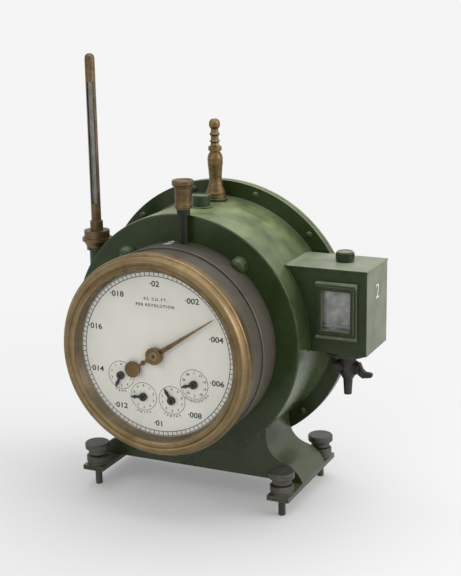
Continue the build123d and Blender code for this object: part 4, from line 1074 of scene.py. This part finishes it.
def makeSeams():
    centreZ = (axisZ / mm) + 2.3
    front, back = levelLow.y / mm, levelHigh.y / mm
    low, high = levelLow.z / mm, boxOf("level_box_lid")[1].z / mm
    parts = []
    for y in (front, back - 0.4):
        parts.append(swept([casingSpot(low + (high - low) * k / seams["steps"], y, centreZ)
                            for k in range(seams["steps"] + 1)], seams["radius"]))
    for z in (low, high - 0.6):
        parts.append(swept([casingSpot(z, y, centreZ) for y in (front, back)], seams["radius"] * 0.8))
    parts.append(swept([casingSpot(high - seams["fillet"] + 0.4, y, centreZ) for y in (front + 0.8, back - 0.8)],
                       seams["fillet"]))
    keep("boxSeams", joined([(part, Matrix()) for part in parts]), sheetGreen)
    standLow, standHigh = boxOf("side_sheet_right")
    parts = []
    for side in (-1, 1):
        top = centreZ - math.sqrt(casingRadius ** 2 - (casingRadius * 0.62) ** 2) + 1
        spots = [casingSpot(top, y, centreZ, side) for y in (standLow.y / mm, standHigh.y / mm)]
        parts.append(swept(spots, seams["radius"] * 1.3))
    keep("standSeams", joined([(part, Matrix()) for part in parts]), dullGreen)


makeSeams()
print("seams laid")

# Levelling screws: thread on the shanks
thread = {"radius": 2.6, "pitch": 0.9, "depth": 0.28, "low": 0.6, "high": 13.6, "steps": 20}


def makeThreads():
    for corner in ("front_left", "front_right", "rear_left", "rear_right"):
        centre = middle("levelling_screw_" + corner)
        turns = (thread["high"] - thread["low"]) / thread["pitch"]
        count = int(turns * thread["steps"])
        spots = []
        for k in range(count + 1):
            angle = 2 * math.pi * k / thread["steps"]
            spots.append((centre.x / mm + thread["radius"] * math.cos(angle), centre.y / mm + thread["radius"] * math.sin(angle),
                          thread["low"] + thread["pitch"] * k / thread["steps"]))
        keep("thread_" + corner, swept(spots, thread["depth"]), screwSteel, "screw_" + corner)


makeThreads()

# Thermometer: graduations and the thread of liquid on the glass
guardLow, guardHigh = boxOf("thermometer_guard")
scale = {"low": 113.0, "high": 18.0, "count": 70, "line": 0.18, "turn": 22.0, "threadHeight": 64.0}


def makeScaleTree():
    # Short marks, one above the other, every fifth one longer.
    tree, given, out, sockets = geometryTree("graduations", (
        ("Count", "NodeSocketInt", 60), ("Step", "NodeSocketFloat", 0.0015), ("Width", "NodeSocketFloat", 0.002),
        ("Line", "NodeSocketFloat", 0.0002), ("Thickness", "NodeSocketFloat", 0.00005),
    ))
    ladder = addNode(tree, "GeometryNodeMeshLine")
    lift = addNode(tree, "ShaderNodeCombineXYZ")
    feed(tree, lift.inputs["Z"], given["Step"])
    feed(tree, ladder.inputs["Count"], given["Count"])
    feed(tree, ladder.inputs["Offset"], lift.outputs[0])
    mark = addNode(tree, "GeometryNodeMeshCube")
    size = addNode(tree, "ShaderNodeCombineXYZ")
    feed(tree, size.inputs["X"], given["Width"])
    feed(tree, size.inputs["Y"], given["Thickness"])
    feed(tree, size.inputs["Z"], given["Line"])
    feed(tree, mark.inputs["Size"], size.outputs[0])
    order = addNode(tree, "GeometryNodeInputIndex")
    fifth = maths(tree, "LESS_THAN", maths(tree, "MODULO", order.outputs[0], 5.0), 0.5)
    stretch = addNode(tree, "ShaderNodeCombineXYZ")
    feed(tree, stretch.inputs["X"], spread(tree, fifth, 0, 1, 0.55, 1.0))
    stretch.inputs["Y"].default_value = 1
    stretch.inputs["Z"].default_value = 1
    marks = addNode(tree, "GeometryNodeInstanceOnPoints")
    feed(tree, marks.inputs["Points"], ladder.outputs["Mesh"])
    feed(tree, marks.inputs["Instance"], mark.outputs["Mesh"])
    feed(tree, marks.inputs["Scale"], stretch.outputs[0])
    endTree(tree, marks.outputs[0], blackInk, out["Geometry"])
    return tree, sockets


def makeGraduations():
    centre = middle("thermometer_guard")
    facing = Matrix.Translation((centre.x, centre.y, 0)) @ Matrix.Rotation(math.radians(scale["turn"]), 4, "Z")
    tree, sockets = makeScaleTree()
    top = guardHigh.z / mm - 24.0
    marks = runTree(tree, sockets, {"Count": scale["count"], "Step": 0.0013, "Width": 0.0024, "Line": 0.0002,
                                    "Thickness": 0.00006})
    keep("thermometerScale", joined([(marks, facing @ spot(0.3, -2.68, top - scale["count"] * 1.3))]), blackInk,
         "thermometer")
    line = swept([(-0.9, -2.55, top - 96), (-0.9, -2.55, top - 40)], 0.28)
    keep("thermometerThread", joined([(line, facing)]), screwSteel, "thermometer")


makeGraduations()
print("thermometer marked")

# Rear cover: raised ring and a cap over the bearing
coverLow, coverHigh = boxOf("rear_cover")
cover = {"ringRadius": 70.0, "ringWidth": 5.0, "ringHeight": 1.4, "back": 38.0, "capRadius": 7.5, "capHeight": 3.5}


def makeCoverTrim():
    faceBack = Matrix.Translation((0, cover["back"] * mm, axisZ)) @ Matrix.Rotation(math.radians(-90), 4, "X")
    half = cover["ringWidth"] / 2
    ring = turned([(cover["ringRadius"] + half * math.cos(math.radians(a)), cover["ringHeight"] * math.sin(math.radians(a)))
                   for a in range(0, 181, 20)] + [(cover["ringRadius"] - half, -0.4), (cover["ringRadius"] + half, -0.4)], 96)
    lifted = Matrix.Translation((0, 0, (coverHigh.z + coverLow.z) / 2 - axisZ))
    cap = turned(((0, 4 + cover["capHeight"]), (cover["capRadius"] * 0.6, 3.8 + cover["capHeight"] * 0.9),
                  (cover["capRadius"] * 0.92, 4 + cover["capHeight"] * 0.5), (cover["capRadius"], 4.0), (cover["capRadius"], 3.6),
                  (0, 3.6)), 40)
    keep("coverTrim", joined([(ring, lifted @ faceBack), (cap, faceBack)]), castGreen)


makeCoverTrim()
print("rear cover trimmed")
